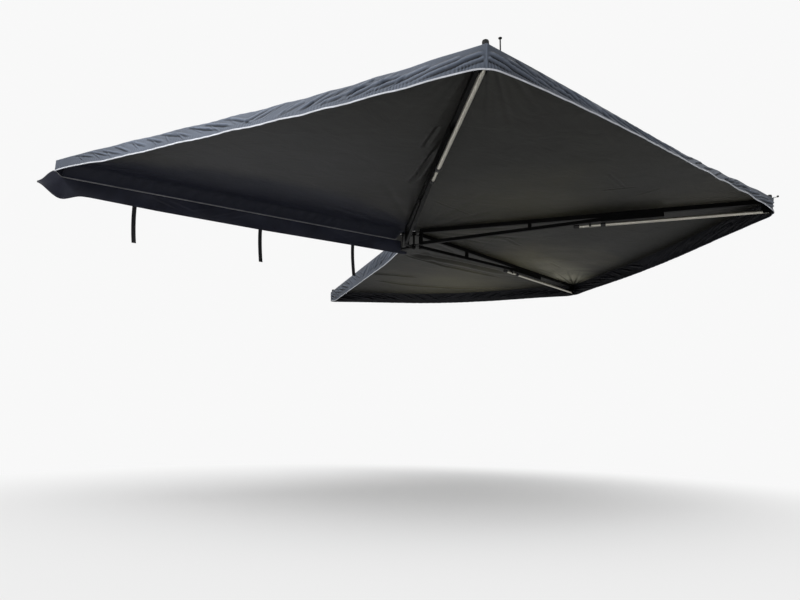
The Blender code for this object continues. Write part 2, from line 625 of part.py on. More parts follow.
def hinge_post(arm, frame):
    """Upright post at an arm's inner end, with an upper and a lower lug on the pivot bolt."""
    offset = arm_offset(arm)
    level = EAR_FACE - LUG_GAP - (arm - 1) * (LUG_THICK + LUG_GAP)
    bore = circle_points(PIVOT_RADIUS + CLEARANCE, 24)
    lugs = [outline_mesh("lug", [lug_outline(offset), bore], level - LUG_THICK, level),
            outline_mesh("lug", [lug_outline(offset), bore], -level, -level + LUG_THICK)]
    bottom = -EAR_FACE + LUG_GAP
    post = box_mesh("post", (POST_START, -offset - POST_HALF_WIDTH, bottom),
                    (POST_END, -offset + POST_HALF_WIDTH, RAFTER_TOP))
    spigots = []
    middle = POST_END - POST_DEPTH / 2
    inner_width = RAFTER_WIDTH / 2 - RAFTER_WALL - CLEARANCE
    for height, z, slope in ((RAFTER_HEIGHT, RAFTER_Z, 0), (STRUT_HEIGHT, STRUT_INNER_Z, STRUT_SLOPE)):
        inner_height = height / 2 - RAFTER_WALL - CLEARANCE
        spigot = box_mesh("spigot", (middle - POST_END, -inner_width, -inner_height),
                          (SPIGOT_LENGTH, inner_width, inner_height))
        spigot.transform(Matrix.Translation((POST_END, -offset, z)) @ Matrix.Rotation(-slope, 4, "Y"))
        spigots.append(spigot)
    mesh = combined("hinge_post", post, added=lugs + spigots)
    place(f"arm_{arm}_hinge_post", smooth(mesh), BLACK_STEEL, frame)


def tube_outlines(height):
    inner_width = RAFTER_WIDTH / 2 - RAFTER_WALL
    return [rectangle_points(RAFTER_WIDTH / 2, height / 2, TUBE_CHAMFER),
            rectangle_points(inner_width, height / 2 - RAFTER_WALL)]


def rafter(arm, frame):
    mesh = outline_mesh("rafter", tube_outlines(RAFTER_HEIGHT), POST_END + CLEARANCE, RAFTER_END,
                        upright=True)
    place(f"arm_{arm}_rafter", mesh, BLACK_TUBE, frame, (0, -arm_offset(arm), RAFTER_Z))


def strut(arm, frame):
    """Sloping tube under the rafter, with the short upright link that keeps the two apart."""
    start = CLEARANCE + STRUT_HEIGHT / 2 * sin(STRUT_SLOPE)
    length = (STRUT_END - POST_END) / cos(STRUT_SLOPE)
    tube = outline_mesh("strut", tube_outlines(STRUT_HEIGHT), start, length, upright=True)
    tube.transform(Matrix.Translation((POST_END, 0, STRUT_INNER_Z)) @ Matrix.Rotation(-STRUT_SLOPE, 4, "Y"))
    x = LINK_AT[arm - 1]
    strut_z = STRUT_INNER_Z + (x - POST_END) * tan(STRUT_SLOPE)
    half = RAFTER_WIDTH / 2 - RAFTER_WALL
    link = box_mesh("link", (x - LINK_LENGTH / 2, -half, strut_z + STRUT_HEIGHT / 2 - 2 * RAFTER_WALL),
                    (x + LINK_LENGTH / 2, half, RAFTER_BOTTOM - CLEARANCE))
    place(f"arm_{arm}_strut", combined("strut", tube, added=[link]), BLACK_TUBE, frame,
          (0, -arm_offset(arm), 0))


def gusset(arm, frame):
    """Folded steel channel that grips the rafter and the end of the strut."""
    inner = RAFTER_WIDTH / 2 + CLEARANCE
    outer = inner + GUSSET_WALL
    top = RAFTER_TOP - GUSSET_LIP
    section = [(-outer, GUSSET_FLOOR - GUSSET_WALL), (outer, GUSSET_FLOOR - GUSSET_WALL), (outer, top),
               (inner, top), (inner, GUSSET_FLOOR), (-inner, GUSSET_FLOOR), (-inner, top), (-outer, top)]
    mesh = outline_mesh("gusset", [section], GUSSET_START, GUSSET_END, upright=True)
    place(f"arm_{arm}_gusset", mesh, BLACK_STEEL, frame, (0, -arm_offset(arm), 0))


def tip_bracket(arm, frame):
    """Bracket on the rafter's end: plug, cheeks with the leg's pin, and a nub through the canopy."""
    half = RAFTER_WIDTH / 2 + CLEARANCE + TIP_CHEEK_THICK
    head_start = RAFTER_END + CLEARANCE
    head_end = head_start + TIP_HEAD_LENGTH
    head = box_mesh("head", (head_start, -half, RAFTER_BOTTOM - TIP_HEAD_BELOW), (head_end, half, RAFTER_TOP))
    plug_width = RAFTER_WIDTH / 2 - RAFTER_WALL - CLEARANCE
    plug_height = RAFTER_HEIGHT / 2 - RAFTER_WALL - CLEARANCE
    plug = box_mesh("plug", (RAFTER_END - SPIGOT_LENGTH, -plug_width, RAFTER_Z - plug_height),
                    (head_start + TIP_HEAD_LENGTH / 2, plug_width, RAFTER_Z + plug_height))
    nub = box_mesh("nub", (TIP_NUB_START, -TIP_NUB_HALF_WIDTH, RAFTER_Z),
                   (head_end - NUB_EDGE, TIP_NUB_HALF_WIDTH, CANOPY_Z + TIP_NUB_PROUD))
    cheeks = []
    for side in (-1, 1):
        near = side * (half - TIP_CHEEK_THICK)
        far = side * half
        low, high = min(near, far), max(near, far)
        cheeks.append(box_mesh("cheek", (TIP_CHEEK_START, low, LEG_Z - TIP_CHEEK_BELOW_LEG),
                               (TIP_CHEEK_END, high, RAFTER_TOP - TIP_CHEEK_BELOW_TOP)))
    pin_half = half - TIP_CHEEK_THICK / 2
    pin = cylinder_mesh("leg_pin", LEG_PIN_RADIUS, (LEG_PIVOT_X, -pin_half, LEG_Z),
                        (LEG_PIVOT_X, pin_half, LEG_Z), 16)
    added = [plug, *cheeks, pin, nub]
    if arm == 1:
        tab_half = TIP_NUB_HALF_WIDTH - NUB_EDGE
        nub_middle = (TIP_NUB_START + head_end) / 2
        added.append(box_mesh("tab", (TIP_TAB_START, -tab_half, TAB_Z),
                              (nub_middle, tab_half, TAB_Z + TIP_TAB_THICK)))
        added.append(box_mesh("tab_side", (TIP_TAB_START, -tab_half + NUB_EDGE, TAB_Z + TIP_TAB_STEP),
                              (TIP_TAB_START + TIP_TAB_LENGTH, GUY_PIN_SIDE + TIP_TAB_PAST_PIN,
                               TAB_Z + TIP_TAB_STEP + TIP_TAB_THICK)))
    mesh = combined("tip_bracket", head, added=added)
    place(f"arm_{arm}_tip_bracket", smooth(mesh), BLACK_STEEL, frame, (0, -arm_offset(arm), 0))


def guy_pin(arm, frame):
    """Upright pin with a flat head for a guy line, on the first tip bracket's tab."""
    base = TAB_Z + TIP_TAB_STEP + TIP_TAB_THICK + CLEARANCE
    top = base + GUY_PIN_LENGTH
    profile = [(0, top), (GUY_PIN_HEAD_RADIUS, top), (GUY_PIN_HEAD_RADIUS, top - GUY_PIN_HEAD_THICK),
               (GUY_PIN_RADIUS, top - GUY_PIN_HEAD_THICK), (GUY_PIN_RADIUS, base), (0, base)]
    place("guy_pin", smooth(turned_mesh("guy_pin", profile, 16)), ZINC, frame,
          (GUY_PIN_X, -arm_offset(arm) + GUY_PIN_SIDE, 0))


def leg_clip(arm, frame):
    """Plastic clip under the strut, open below, for the stowed leg."""
    inner = INNER_RADIUS + CLEARANCE
    under_strut = STRUT_INNER_Z + (CLIP_AT - CLIP_LENGTH / 2 - POST_END) * tan(STRUT_SLOPE)
    top = under_strut - STRUT_HEIGHT / 2 / cos(STRUT_SLOPE) - CLEARANCE - LEG_Z
    bottom = -CLIP_BELOW_LEG
    steps = 10
    arc = [(inner * cos(pi * i / steps), inner * sin(pi * i / steps)) for i in range(steps + 1)]
    section = [(CLIP_HALF_WIDTH, bottom), (CLIP_HALF_WIDTH, top), (-CLIP_HALF_WIDTH, top),
               (-CLIP_HALF_WIDTH, bottom), (-inner, bottom)]
    mesh = outline_mesh("leg_clip", [section + list(reversed(arc)) + [(inner, bottom)]],
                        CLIP_AT - CLIP_LENGTH / 2, CLIP_AT + CLIP_LENGTH / 2, upright=True)
    place(f"arm_{arm}_leg_clip", smooth(mesh), BLACK_PLASTIC, frame, (0, -arm_offset(arm), LEG_Z))


def leg(arm, frame):
    """Telescopic leg: outer tube on the tip bracket's pin, inner tube, turning collar and foot."""
    pivot = axis_empty(f"leg_{arm}_axis", (LEG_PIVOT_X, -arm_offset(arm), LEG_Z), parent=frame)
    slide = axis_empty(f"leg_{arm}_slide", (0, 0, 0), parent=pivot)

    def along(x):
        return x - LEG_PIVOT_X

    tube = outline_mesh("outer_tube",
                        [circle_points(LEG_RADIUS, 20), circle_points(LEG_RADIUS - LEG_WALL, 20)],
                        along(LEG_TUBE_START), LEG_PAST_PIVOT, upright=True)
    eye = cylinder_mesh("eye", LEG_PIN_RADIUS + CLEARANCE, (0, -2 * LEG_RADIUS, 0),
                        (0, 2 * LEG_RADIUS, 0), 16)
    place(f"leg_{arm}_outer_tube", smooth(combined("outer_tube", tube, removed=[eye])), BRIGHT_TUBE, pivot)

    inner = outline_mesh("inner_tube", [circle_points(INNER_RADIUS, 20),
                                        circle_points(INNER_RADIUS - INNER_WALL, 20)],
                         along(INNER_START), along(INNER_START + INNER_LENGTH), upright=True)
    place(f"leg_{arm}_inner_tube", smooth(inner), BRIGHT_TUBE, slide)

    points = COLLAR_FLUTES * 4
    grip = [((COLLAR_RADIUS - COLLAR_FLUTE_DEPTH * (i % 4 == 0)) * cos(2 * pi * i / points),
             (COLLAR_RADIUS - COLLAR_FLUTE_DEPTH * (i % 4 == 0)) * sin(2 * pi * i / points))
            for i in range(points)]
    collar_end = along(LEG_TUBE_START) - CLEARANCE
    collar = outline_mesh("collar", [grip, circle_points(INNER_RADIUS + CLEARANCE, 20)],
                          collar_end - COLLAR_LENGTH, collar_end, upright=True)
    place(f"leg_{arm}_lock_collar", smooth(collar), BLACK_PLASTIC, pivot)

    tube_end = along(INNER_START)
    sole = tube_end - FOOT_SOLE
    rim = tube_end + FOOT_GRIP
    bore = INNER_RADIUS + CLEARANCE
    profile = [(FOOT_RADIUS, rim), (FOOT_RADIUS, sole + FOOT_ROUNDING), (FOOT_RADIUS - FOOT_ROUNDING, sole),
               (0, sole), (0, tube_end - CLEARANCE), (bore, tube_end - CLEARANCE), (bore, rim)]
    foot = turned_mesh("foot", profile, 20)
    foot.transform(Matrix.Rotation(pi / 2, 4, "Y"))
    place(f"leg_{arm}_foot", smooth(foot), BLACK_RUBBER, slide)


def direction(angle):
    return Vector((cos(angle), sin(angle), 0))


def left_of(angle):
    return Vector((-sin(angle), cos(angle), 0))


def ease(t):
    t = min(max(t, 0.0), 1.0)
    return t * t * (3 - 2 * t)


def part_of(least, t):
    """Share that grows from its least to 1 as t goes from 0 to 1."""
    return least + (1 - least) * ease(t)


def rail_side_point(share):
    """Rail-side edge of the first panel: from the hub back to the rail's track, then to the corner."""
    s = share * CORNER_REACH
    track_y = PIVOT_BEFORE_RAIL - TRACK_EDGE_GAP - CANOPY_THICK
    track_drop = CANOPY_Z - TRACK_Z - BAG_THICK / 2 - 2 * CANOPY_THICK
    back = ease((s - TRACK_EDGE_LEAVES) / (TRACK_EDGE_BACK - TRACK_EDGE_LEAVES))
    down = ease((s - TRACK_EDGE_BACK) / (TRACK_EDGE_ARRIVES - TRACK_EDGE_BACK))
    forward = ease((s - CORNER_REACH + TRACK_EDGE_LETS_GO) / TRACK_EDGE_LETS_GO)
    y = (HUB_EDGE_INSET + (track_y - HUB_EDGE_INSET) * back) * (1 - forward)
    drop = track_drop * down + (TRACK_EDGE_CORNER_DROP - track_drop) * forward
    return Vector((-s, y, -drop))


def panel_edges(panel, share):
    """Both side edges of a panel at a share of the way from the pivot to the outer edge."""
    first, second = corner_angle(panel - 1), corner_angle(panel)
    reach = share * CORNER_REACH
    start = direction(first) * reach + left_of(first) * SEAM_GAP
    end = direction(second) * reach - left_of(second) * SEAM_GAP
    if panel == ARM_COUNT:
        angle = arm_angle(ARM_COUNT)
        end = direction(angle) * share * (CORNER_REACH + LAST_EDGE_REACH) - left_of(angle) * LAST_EDGE_OFFSET
    return start, end


def sheet_point(panel, share, across):
    start, end = panel_edges(panel, share)
    sag = EDGE_SAG * share * share * sin(pi * across) ** 2
    return start.lerp(end, across) - Vector((0, 0, sag))


def fold(along_edge, length, seed):
    """Outward wave of a hanging valance, still at both ends."""
    t = along_edge / length
    calm = min(1.0, t / VALANCE_CALM, (1 - t) / VALANCE_CALM)
    short = sin(2 * pi * along_edge / SHORT_WAVE + seed)
    long = sin(2 * pi * along_edge / LONG_WAVE + 2 * seed)
    return VALANCE_FOLD * calm * (1 + (short + LONG_WAVE_SHARE * long) / (1 + LONG_WAVE_SHARE)) / 2


def canopy_panel(panel):
    """One panel of cloth with its valance, as a sheet on a grid that is then thickened."""
    bm = bmesh.new()
    stations = RAIL_SIDE_STATIONS if panel == 1 else SHEET_STATIONS
    rows = []
    for share in stations:
        row = []
        if panel == 1:
            row.append(bm.verts.new(rail_side_point(share)))
        columns = CANOPY_COLUMNS
        for j in range(columns + 1):
            across = j / columns
            if panel == 1 and j == 0:
                across = TRACK_SEAM_ACROSS
            row.append(bm.verts.new(sheet_point(panel, share, across)))
        rows.append(row)
    for lower, upper in zip(rows, rows[1:]):
        for a, b, c, d in zip(lower, lower[1:], upper[1:], upper):
            bm.faces.new((a, d, c, b))
    border = list(rows[-1][1:] if panel == 1 else rows[-1])
    outward = direction((corner_angle(panel - 1) + corner_angle(panel)) / 2)
    outwards = [outward] * len(border)
    drops = [VALANCE_DROP] * len(border)
    if panel == 1:
        drops = [VALANCE_DROP * part_of(FIRST_VALANCE_LEAST, i / FIRST_VALANCE_COLUMNS)
                 for i in range(len(border))]
    if panel == ARM_COUNT:
        side = left_of(arm_angle(ARM_COUNT))
        outwards[-1] = (outward + side).normalized()
        for share, row in reversed(list(zip(stations[:-1], rows[:-1]))):
            if share < LAST_VALANCE_START:
                break
            border.append(row[-1])
            outwards.append(side)
            deep = (share - LAST_VALANCE_START) / LAST_VALANCE_GROWS
            drops.append(VALANCE_DROP * part_of(LAST_VALANCE_LEAST, deep))
    hang_valance(bm, border, outwards, drops, panel)
    mesh = bpy.data.meshes.new("canopy_panel")
    bm.to_mesh(mesh)
    bm.free()
    holder = new_object("canopy_sheet", mesh, GUIDES)
    solidify = holder.modifiers.new("Cloth", "SOLIDIFY")
    solidify.thickness = CANOPY_THICK
    solidify.offset = -1
    solidify.use_even_offset = False
    mesh = combined("canopy_panel", baked(holder), removed=nub_holes(panel))
    place(f"canopy_panel_{panel}", smooth(mesh, radians(50)), CANVAS,
          location=PIVOT + Vector((0, 0, CANOPY_Z)))


def nub_holes(panel):
    """Cutters for the holes at the panel's corners, through which the tip brackets' nubs stand."""
    cutters = []
    for arm in (panel - 1, panel):
        if arm == 0:
            continue
        angle = arm_angle(arm)
        x = (TIP_NUB_START + RAFTER_END + CLEARANCE + TIP_HEAD_LENGTH) / 2
        centre = direction(angle) * x - left_of(angle) * arm_offset(arm)
        depth = Vector((0, 0, NUB_HOLE_RADIUS))
        cutters.append(cylinder_mesh("nub_hole", NUB_HOLE_RADIUS, centre - depth, centre + depth, 16))
    return cutters


def hang_valance(bm, border, outwards, drops, seed):
    """Rows of cloth below a border, swinging in and out in folds."""
    lengths = [0.0]
    for first, second in zip(border, border[1:]):
        lengths.append(lengths[-1] + (second.co - first.co).length)
    upper = border
    for level in VALANCE_ROWS:
        row = []
        for vert, out, drop, length in zip(border, outwards, drops, lengths):
            shift = out * (VALANCE_HEAD + fold(length, lengths[-1], seed) * level)
            row.append(bm.verts.new(vert.co + shift - Vector((0, 0, drop * level))))
        for a, b, c, d in zip(upper, upper[1:], row[1:], row):
            bm.faces.new((a, d, c, b))
        upper = row


def cover_bag():
    """Opened travel cover: it hangs from the rail's track and ends in a loose flap past the rail."""
    rail_far = RAIL_LENGTH + PIVOT_BEYOND_RAIL
    tongue_end = rail_far - BAG_TONGUE_ENDS
    step = (tongue_end - BAG_HUB_END) / BAG_STEPS
    shape = [(BAG_HUB_END + step * i, 0.0, BAG_DROP, 0.0) for i in range(BAG_STEPS + 1)]
    shape += [(rail_far + past, high, low, out) for past, high, low, out in FLAP_SHAPE]
    tongue_back = -RAIL_DEPTH + TRACK_LIP + TRACK_RADIUS
    hem = -RAIL_DEPTH - BAG_FRONT_GAP
    bm = bmesh.new()
    rows = []
    for s, high, low, out in shape:
        x = PIVOT.x - s
        front = hem - out
        inner = tongue_back if s <= tongue_end else front + BAG_TUCK
        row = [(x, inner, TRACK_Z - high), (x, front, TRACK_Z - high)]
        for share in BAG_ROWS:
            bulge = BAG_BULGE * sin(pi * share) * sin(2 * pi * s / BAG_WAVE)
            row.append((x, front - bulge, TRACK_Z - high - (low - high) * share))
        rows.append([bm.verts.new(point) for point in row])
    for lower, upper in zip(rows, rows[1:]):
        for a, b, c, d in zip(lower, lower[1:], upper[1:], upper):
            bm.faces.new((a, b, c, d))
    mesh = bpy.data.meshes.new("cover_bag")
    bm.to_mesh(mesh)
    bm.free()
    holder = new_object("bag_sheet", mesh, GUIDES)
    solidify = holder.modifiers.new("Cloth", "SOLIDIFY")
    solidify.thickness = BAG_THICK
    solidify.offset = 0
    mesh = baked(holder)
    place("cover_bag", smooth(mesh, radians(50)), BAG_VINYL)


def straps():
    """Webbing straps that close the bag, hanging from its lower edge."""
    top = TRACK_Z - BAG_DROP - CLEARANCE
    middle = -RAIL_DEPTH - BAG_FRONT_GAP
    for number, s in enumerate(STRAP_AT, 1):
        bm = bmesh.new()
        rows = []
        for i in range(STRAP_ROWS + 1):
            share = i / STRAP_ROWS
            curl = STRAP_CURL * share * share
            centre = Vector((PIVOT.x - s + curl, middle, top - STRAP_LENGTH * share))
            rows.append([bm.verts.new(centre - Vector((STRAP_WIDTH / 2, 0, 0))),
                         bm.verts.new(centre + Vector((STRAP_WIDTH / 2, 0, 0)))])
        for (a, b), (c, d) in zip(rows, rows[1:]):
            bm.faces.new((a, c, d, b))
        mesh = bpy.data.meshes.new("strap")
        bm.to_mesh(mesh)
        bm.free()
        holder = new_object("strap_sheet", mesh, GUIDES)
        solidify = holder.modifiers.new("Webbing", "SOLIDIFY")
        solidify.thickness = STRAP_THICK
        solidify.offset = 0
        place(f"bag_strap_{number}", baked(holder), WEBBING)


clear_scene()
AWNING = bpy.data.collections.new("side_awning")
GUIDES = bpy.data.collections.new("cutters")
bpy.context.scene.collection.children.link(AWNING)
bpy.context.scene.collection.children.link(GUIDES)

ALUMINIUM = material("rail_aluminium", (0.50, 0.50, 0.49), 0.4, 0.9)
BRIGHT_TUBE = material("bright_tube", (0.62, 0.61, 0.57), 0.35, 0.9)
BLACK_TUBE = material("black_tube", (0.015, 0.015, 0.015), 0.45)
BLACK_STEEL = material("black_steel", (0.012, 0.012, 0.012), 0.5)
ZINC = material("zinc", (0.55, 0.55, 0.55), 0.4, 0.9)
BLACK_PLASTIC = material("black_plastic", (0.01, 0.01, 0.01), 0.5)
BLACK_RUBBER = material("black_rubber", (0.01, 0.01, 0.01), 0.8)
CANVAS = material("canvas", (0.10, 0.12, 0.15), 0.85)
BAG_VINYL = material("bag_vinyl", (0.01, 0.012, 0.02), 0.6)
WEBBING = material("webbing", (0.01, 0.01, 0.01), 0.8)

mounting_rail()
rail_end_cap()
hub_bracket()
hub_pivot()
hub_bracket_bolts()
rack_brackets()
rack_bolts()
for arm_number in range(1, ARM_COUNT + 1):
    arm_frame = axis_empty(f"arm_{arm_number}_axis", PIVOT, arm_angle(arm_number))
    hinge_post(arm_number, arm_frame)
    rafter(arm_number, arm_frame)
    strut(arm_number, arm_frame)
    gusset(arm_number, arm_frame)
    tip_bracket(arm_number, arm_frame)
    leg_clip(arm_number, arm_frame)
    leg(arm_number, arm_frame)
    if arm_number == 1:
        guy_pin(arm_number, arm_frame)
    canopy_panel(arm_number)
cover_bag()
straps()
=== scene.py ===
"""Looks of a free-standing 270 degree vehicle awning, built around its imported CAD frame."""

import json
from math import atan2, cos, pi, radians, sin

import bpy
import numpy as np
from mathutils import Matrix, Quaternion, Vector


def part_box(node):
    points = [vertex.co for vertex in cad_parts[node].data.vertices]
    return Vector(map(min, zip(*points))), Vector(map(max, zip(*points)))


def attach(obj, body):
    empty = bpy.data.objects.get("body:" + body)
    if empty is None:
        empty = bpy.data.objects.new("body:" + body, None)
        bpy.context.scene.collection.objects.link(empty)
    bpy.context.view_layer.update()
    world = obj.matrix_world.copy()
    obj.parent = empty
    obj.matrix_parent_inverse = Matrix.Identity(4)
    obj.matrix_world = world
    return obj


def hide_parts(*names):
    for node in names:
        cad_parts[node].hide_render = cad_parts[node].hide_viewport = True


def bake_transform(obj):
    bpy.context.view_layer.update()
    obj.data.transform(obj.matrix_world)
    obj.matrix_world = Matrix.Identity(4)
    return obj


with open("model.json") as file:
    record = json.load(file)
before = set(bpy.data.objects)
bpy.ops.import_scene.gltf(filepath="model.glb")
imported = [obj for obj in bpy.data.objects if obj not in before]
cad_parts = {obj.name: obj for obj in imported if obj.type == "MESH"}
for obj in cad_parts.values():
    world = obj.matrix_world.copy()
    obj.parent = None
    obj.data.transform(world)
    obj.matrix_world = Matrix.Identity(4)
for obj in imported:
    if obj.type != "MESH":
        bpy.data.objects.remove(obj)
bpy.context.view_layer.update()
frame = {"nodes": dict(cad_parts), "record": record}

MM = 0.001
NODES = frame["nodes"]
SLOT_OF = {part["node"]: part["material_slot"] for part in frame["record"]["subparts"]}
JOINTS = {joint["name"]: joint for joint in frame["record"]["behaviour"]["joints"]}

# Layout of the fan. Corner K lies between panels K and K + 1, and arm K ends there.
PIVOT = Vector(JOINTS["arm_1_swing"]["pos_m"])
ARM_COUNT = 4
REACH = 2.506  # from the pivot to a corner
SPREAD = radians(65.1)  # of one panel
PANEL_WIDTH = 2 * REACH * sin(SPREAD / 2)  # along the outer edge
PANEL_HEIGHT = REACH * cos(SPREAD / 2)  # from the outer edge to the pivot
ARM_OFFSETS = {1: 0.070, 2: 0.038, 3: 0.006, 4: -0.026}  # of each arm, beside the line through the pivot
CANOPY_Z = 0.0715  # top of the cloth
CANOPY_THICK = 1.0 * MM
HUB_TOP = np.array([PIVOT.x, PIVOT.y, CANOPY_Z])
BAND_SEAM = 0.006  # share of the first panel's width that its band to the rail takes
HUB_HOLE = 0.005  # share of the reach that stays open round the pivot
LAST_EDGE_REACH = 14 * MM  # how much further than the others the last corner lies
LAST_EDGE_OFFSET = 44 * MM  # of the last edge, beside the line through the pivot
RAIL_FACE = -30 * MM  # y of the rail's front
TRACK_Z = 10 * MM
BAG_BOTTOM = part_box("bag_strap_2")[1].z + 0.3 * MM

# Rail-side edge of the first panel. Its stretches are (start, length) from the pivot.
HUB_SIDE = 8 * MM  # how far behind the pivot it begins
EDGE_BACK = (0.008, 0.016)
EDGE_DOWN = (0.060, 0.060)
EDGE_FORWARD = 0.045  # length before the corner
CORNER_DROP = 66 * MM  # how far under the cloth's plane it ends

# Hang of the cloth, by panel
EDGE_SAGS = {1: (27, 1.6, 1.2), 2: (22, 1.3, 2.0), 3: (28, 1.0, 2.0), 4: (46, 1.0, 1.6)}  # mm, skew, power
VALANCE_SWINGS = {1: (19, 0.85), 2: (31, 1.15), 3: (2, 1.0), 4: (26, 1.0)}  # degrees, skew
VALANCE_DROP = 110 * MM
LAST_EDGE_MORE = 34 * MM  # how much deeper the valance hangs along the last edge

# Cloth
RIPSTOP_PITCH = 5.5 * MM
RIPSTOP_THREAD = 0.16  # share of the pitch
WEAVE_PITCH = 1.1 * MM
WEBBING_WIDTH = 0.0266
VALANCE_ROWS = np.linspace(0, 1, 30)  # shares of the drop
EDGE_POINTS = 900  # of a panel's outer edge
LAST_EDGE_END = 0.08  # share of the reach at which the last valance ends
CORNER_TURN = 10  # points on both sides of the last corner over which the valance turns
PUCKER_PITCH = 0.071
FLUTTER_PITCH = 0.115  # share of a panel's width
GATHER_PITCH = 0.0165
SEAM_TURN = ((14 * MM, 0.9 * MM), (7 * MM, 1.0 * MM), (2 * MM, 0.9 * MM), (0, 0.2 * MM))  # inset, rise

# Places along an arm, from the pivot
NUB_AT = 2.4827
TIP_PIN_AT = 2.494
RIVET_PLACES = ((1.440, 0.020), (1.520, 0.046), (1.640, 0.046), (1.790, 0.046))  # along, z
GUSSET_HALF = 14.5 * MM  # half of its width


# Meshes

def ease(t):
    """Smooth step from 0 to 1, on numbers and arrays."""
    t = np.clip(t, 0, 1)
    return t * t * (3 - 2 * t)


def grid_mesh(name, points, uvs=None, wrap=False, flip=False, caps=False):
    """Mesh over a grid of points [row, column, xyz]. Wrap joins each row into a ring."""
    rows, columns = points.shape[:2]
    index = np.arange(rows * columns).reshape(rows, columns)
    if wrap:
        index = np.concatenate([index, index[:, :1]], axis=1)
    quads = np.stack([index[:-1, :-1], index[:-1, 1:], index[1:, 1:], index[1:, :-1]], axis=-1)
    quads = quads.reshape(-1, 4)
    if flip:
        quads = quads[:, ::-1]
    faces = quads.tolist()
    if caps:
        faces += [index[-1, :columns].tolist(), index[0, :columns][::-1].tolist()]
    mesh = bpy.data.meshes.new(name)
    mesh.from_pydata(points.reshape(-1, 3).tolist(), [], faces)
    if uvs is not None:
        layer = mesh.uv_layers.new(name="cloth")
        corner = np.empty(len(mesh.loops), int)
        mesh.loops.foreach_get("vertex_index", corner)
        layer.data.foreach_set("uv", uvs.reshape(-1, 2)[corner].astype(np.float32).ravel())
    mesh.polygons.foreach_set("use_smooth", [True] * len(mesh.polygons))
    mesh.update()
    return mesh


def flat_mesh(name, vertices, faces):
    """Mesh with flat shading."""
    mesh = bpy.data.meshes.new(name)
    mesh.from_pydata(vertices.tolist(), [], faces)
    return mesh


def sweep(name, path, side, up, profile, flip=False):
    """Tube along a path. Profile is (side, up) pairs. The two vectors are given once or for each point."""
    side, up = (np.broadcast_to(np.asarray(vector, float), path.shape)[:, None] for vector in (side, up))
    points = path[:, None] + side * profile[:, :1] + up * profile[:, 1:]
    return grid_mesh(name, points, wrap=True, flip=flip, caps=True)


def oval(width, height):
    """Oval profile for sweep."""
    turn = np.linspace(0, 2 * pi, 10, endpoint=False)
    return np.stack([np.cos(turn) * width / 2, np.sin(turn) * height / 2], axis=-1)


def lengths_along(path):
    """Distance of each point from the first, along the path."""
    return np.concatenate([[0], np.cumsum(np.linalg.norm(np.diff(path, axis=0), axis=-1))])


def put(name, data):
    """New object in the scene."""
    obj = bpy.data.objects.new(name, data)
    bpy.context.scene.collection.objects.link(obj)
    return obj


def new_piece(name, mesh, *materials):
    """Object with this mesh and its materials."""
    obj = put(name, mesh)
    for material in materials:
        mesh.materials.append(material)
    return obj


def fasten(obj, body):
    """The piece moves with a body."""
    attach(obj, body)
    return obj


def thicken(obj, thickness, offset, inside=0):
    """Gives a sheet its thickness. Inside is how many material slots further the back's material is."""
    solidify = obj.modifiers.new("Thickness", "SOLIDIFY")
    solidify.thickness = thickness
    solidify.offset = offset
    solidify.material_offset = inside
    solidify.use_even_offset = False


def follow(obj):
    """Bakes the cloth's place into its mesh."""
    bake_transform(obj)


# Fan geometry

def direction(angle):
    """Level unit vector at an angle from the x axis."""
    return Vector((cos(angle), sin(angle), 0))


def left_of(angle):
    """Level unit vector to the left of that direction."""
    return Vector((-sin(angle), cos(angle), 0))


def corner_angle(corner):
    """Direction of a corner from the pivot. Corner 0 is at the rail."""
    return pi + SPREAD * corner


def arm_angle(arm):
    """Direction of an arm, square to its leg's pin."""
    axis = JOINTS[f"leg_{arm}_fold"]["axis"]
    return atan2(axis[0], -axis[1])


def arm_point(arm, along, side, z):
    """Point in the frame, from distances along the arm and to its left."""
    angle = arm_angle(arm)
    middle = Vector((PIVOT.x, PIVOT.y, z)) + direction(angle) * along
    return middle + left_of(angle) * (side - ARM_OFFSETS[arm])


def edge_ends(panel):
    """A panel's two straight edges, each as its direction, reach and offset."""
    start, end = ((np.array(direction(corner_angle(corner))), REACH, 0.0) for corner in (panel - 1, panel))
    if panel == ARM_COUNT:
        angle = arm_angle(ARM_COUNT)
        offset = np.array(left_of(angle)) * LAST_EDGE_OFFSET
        end = (np.array(direction(angle)), REACH + LAST_EDGE_REACH, offset)
    return start, end


def flat_points(panel, share, across):
    """Places on a panel without its folds: share from the hub outward, across from edge to edge."""
    (d0, r0, o0), (d1, r1, o1) = edge_ends(panel)
    share = np.asarray(share, float)[..., None]
    across = np.asarray(across, float)[..., None]
    start = d0 * r0 * share + o0
    end = d1 * r1 * share + o1
    points = start + (end - start) * across
    sag, skew, power = EDGE_SAGS[panel]
    points[..., 2] -= (sag * MM * share * share * np.sin(pi * np.clip(across, 0, 1) ** skew) ** power)[..., 0]
    return points + HUB_TOP


# Folds in the cloth

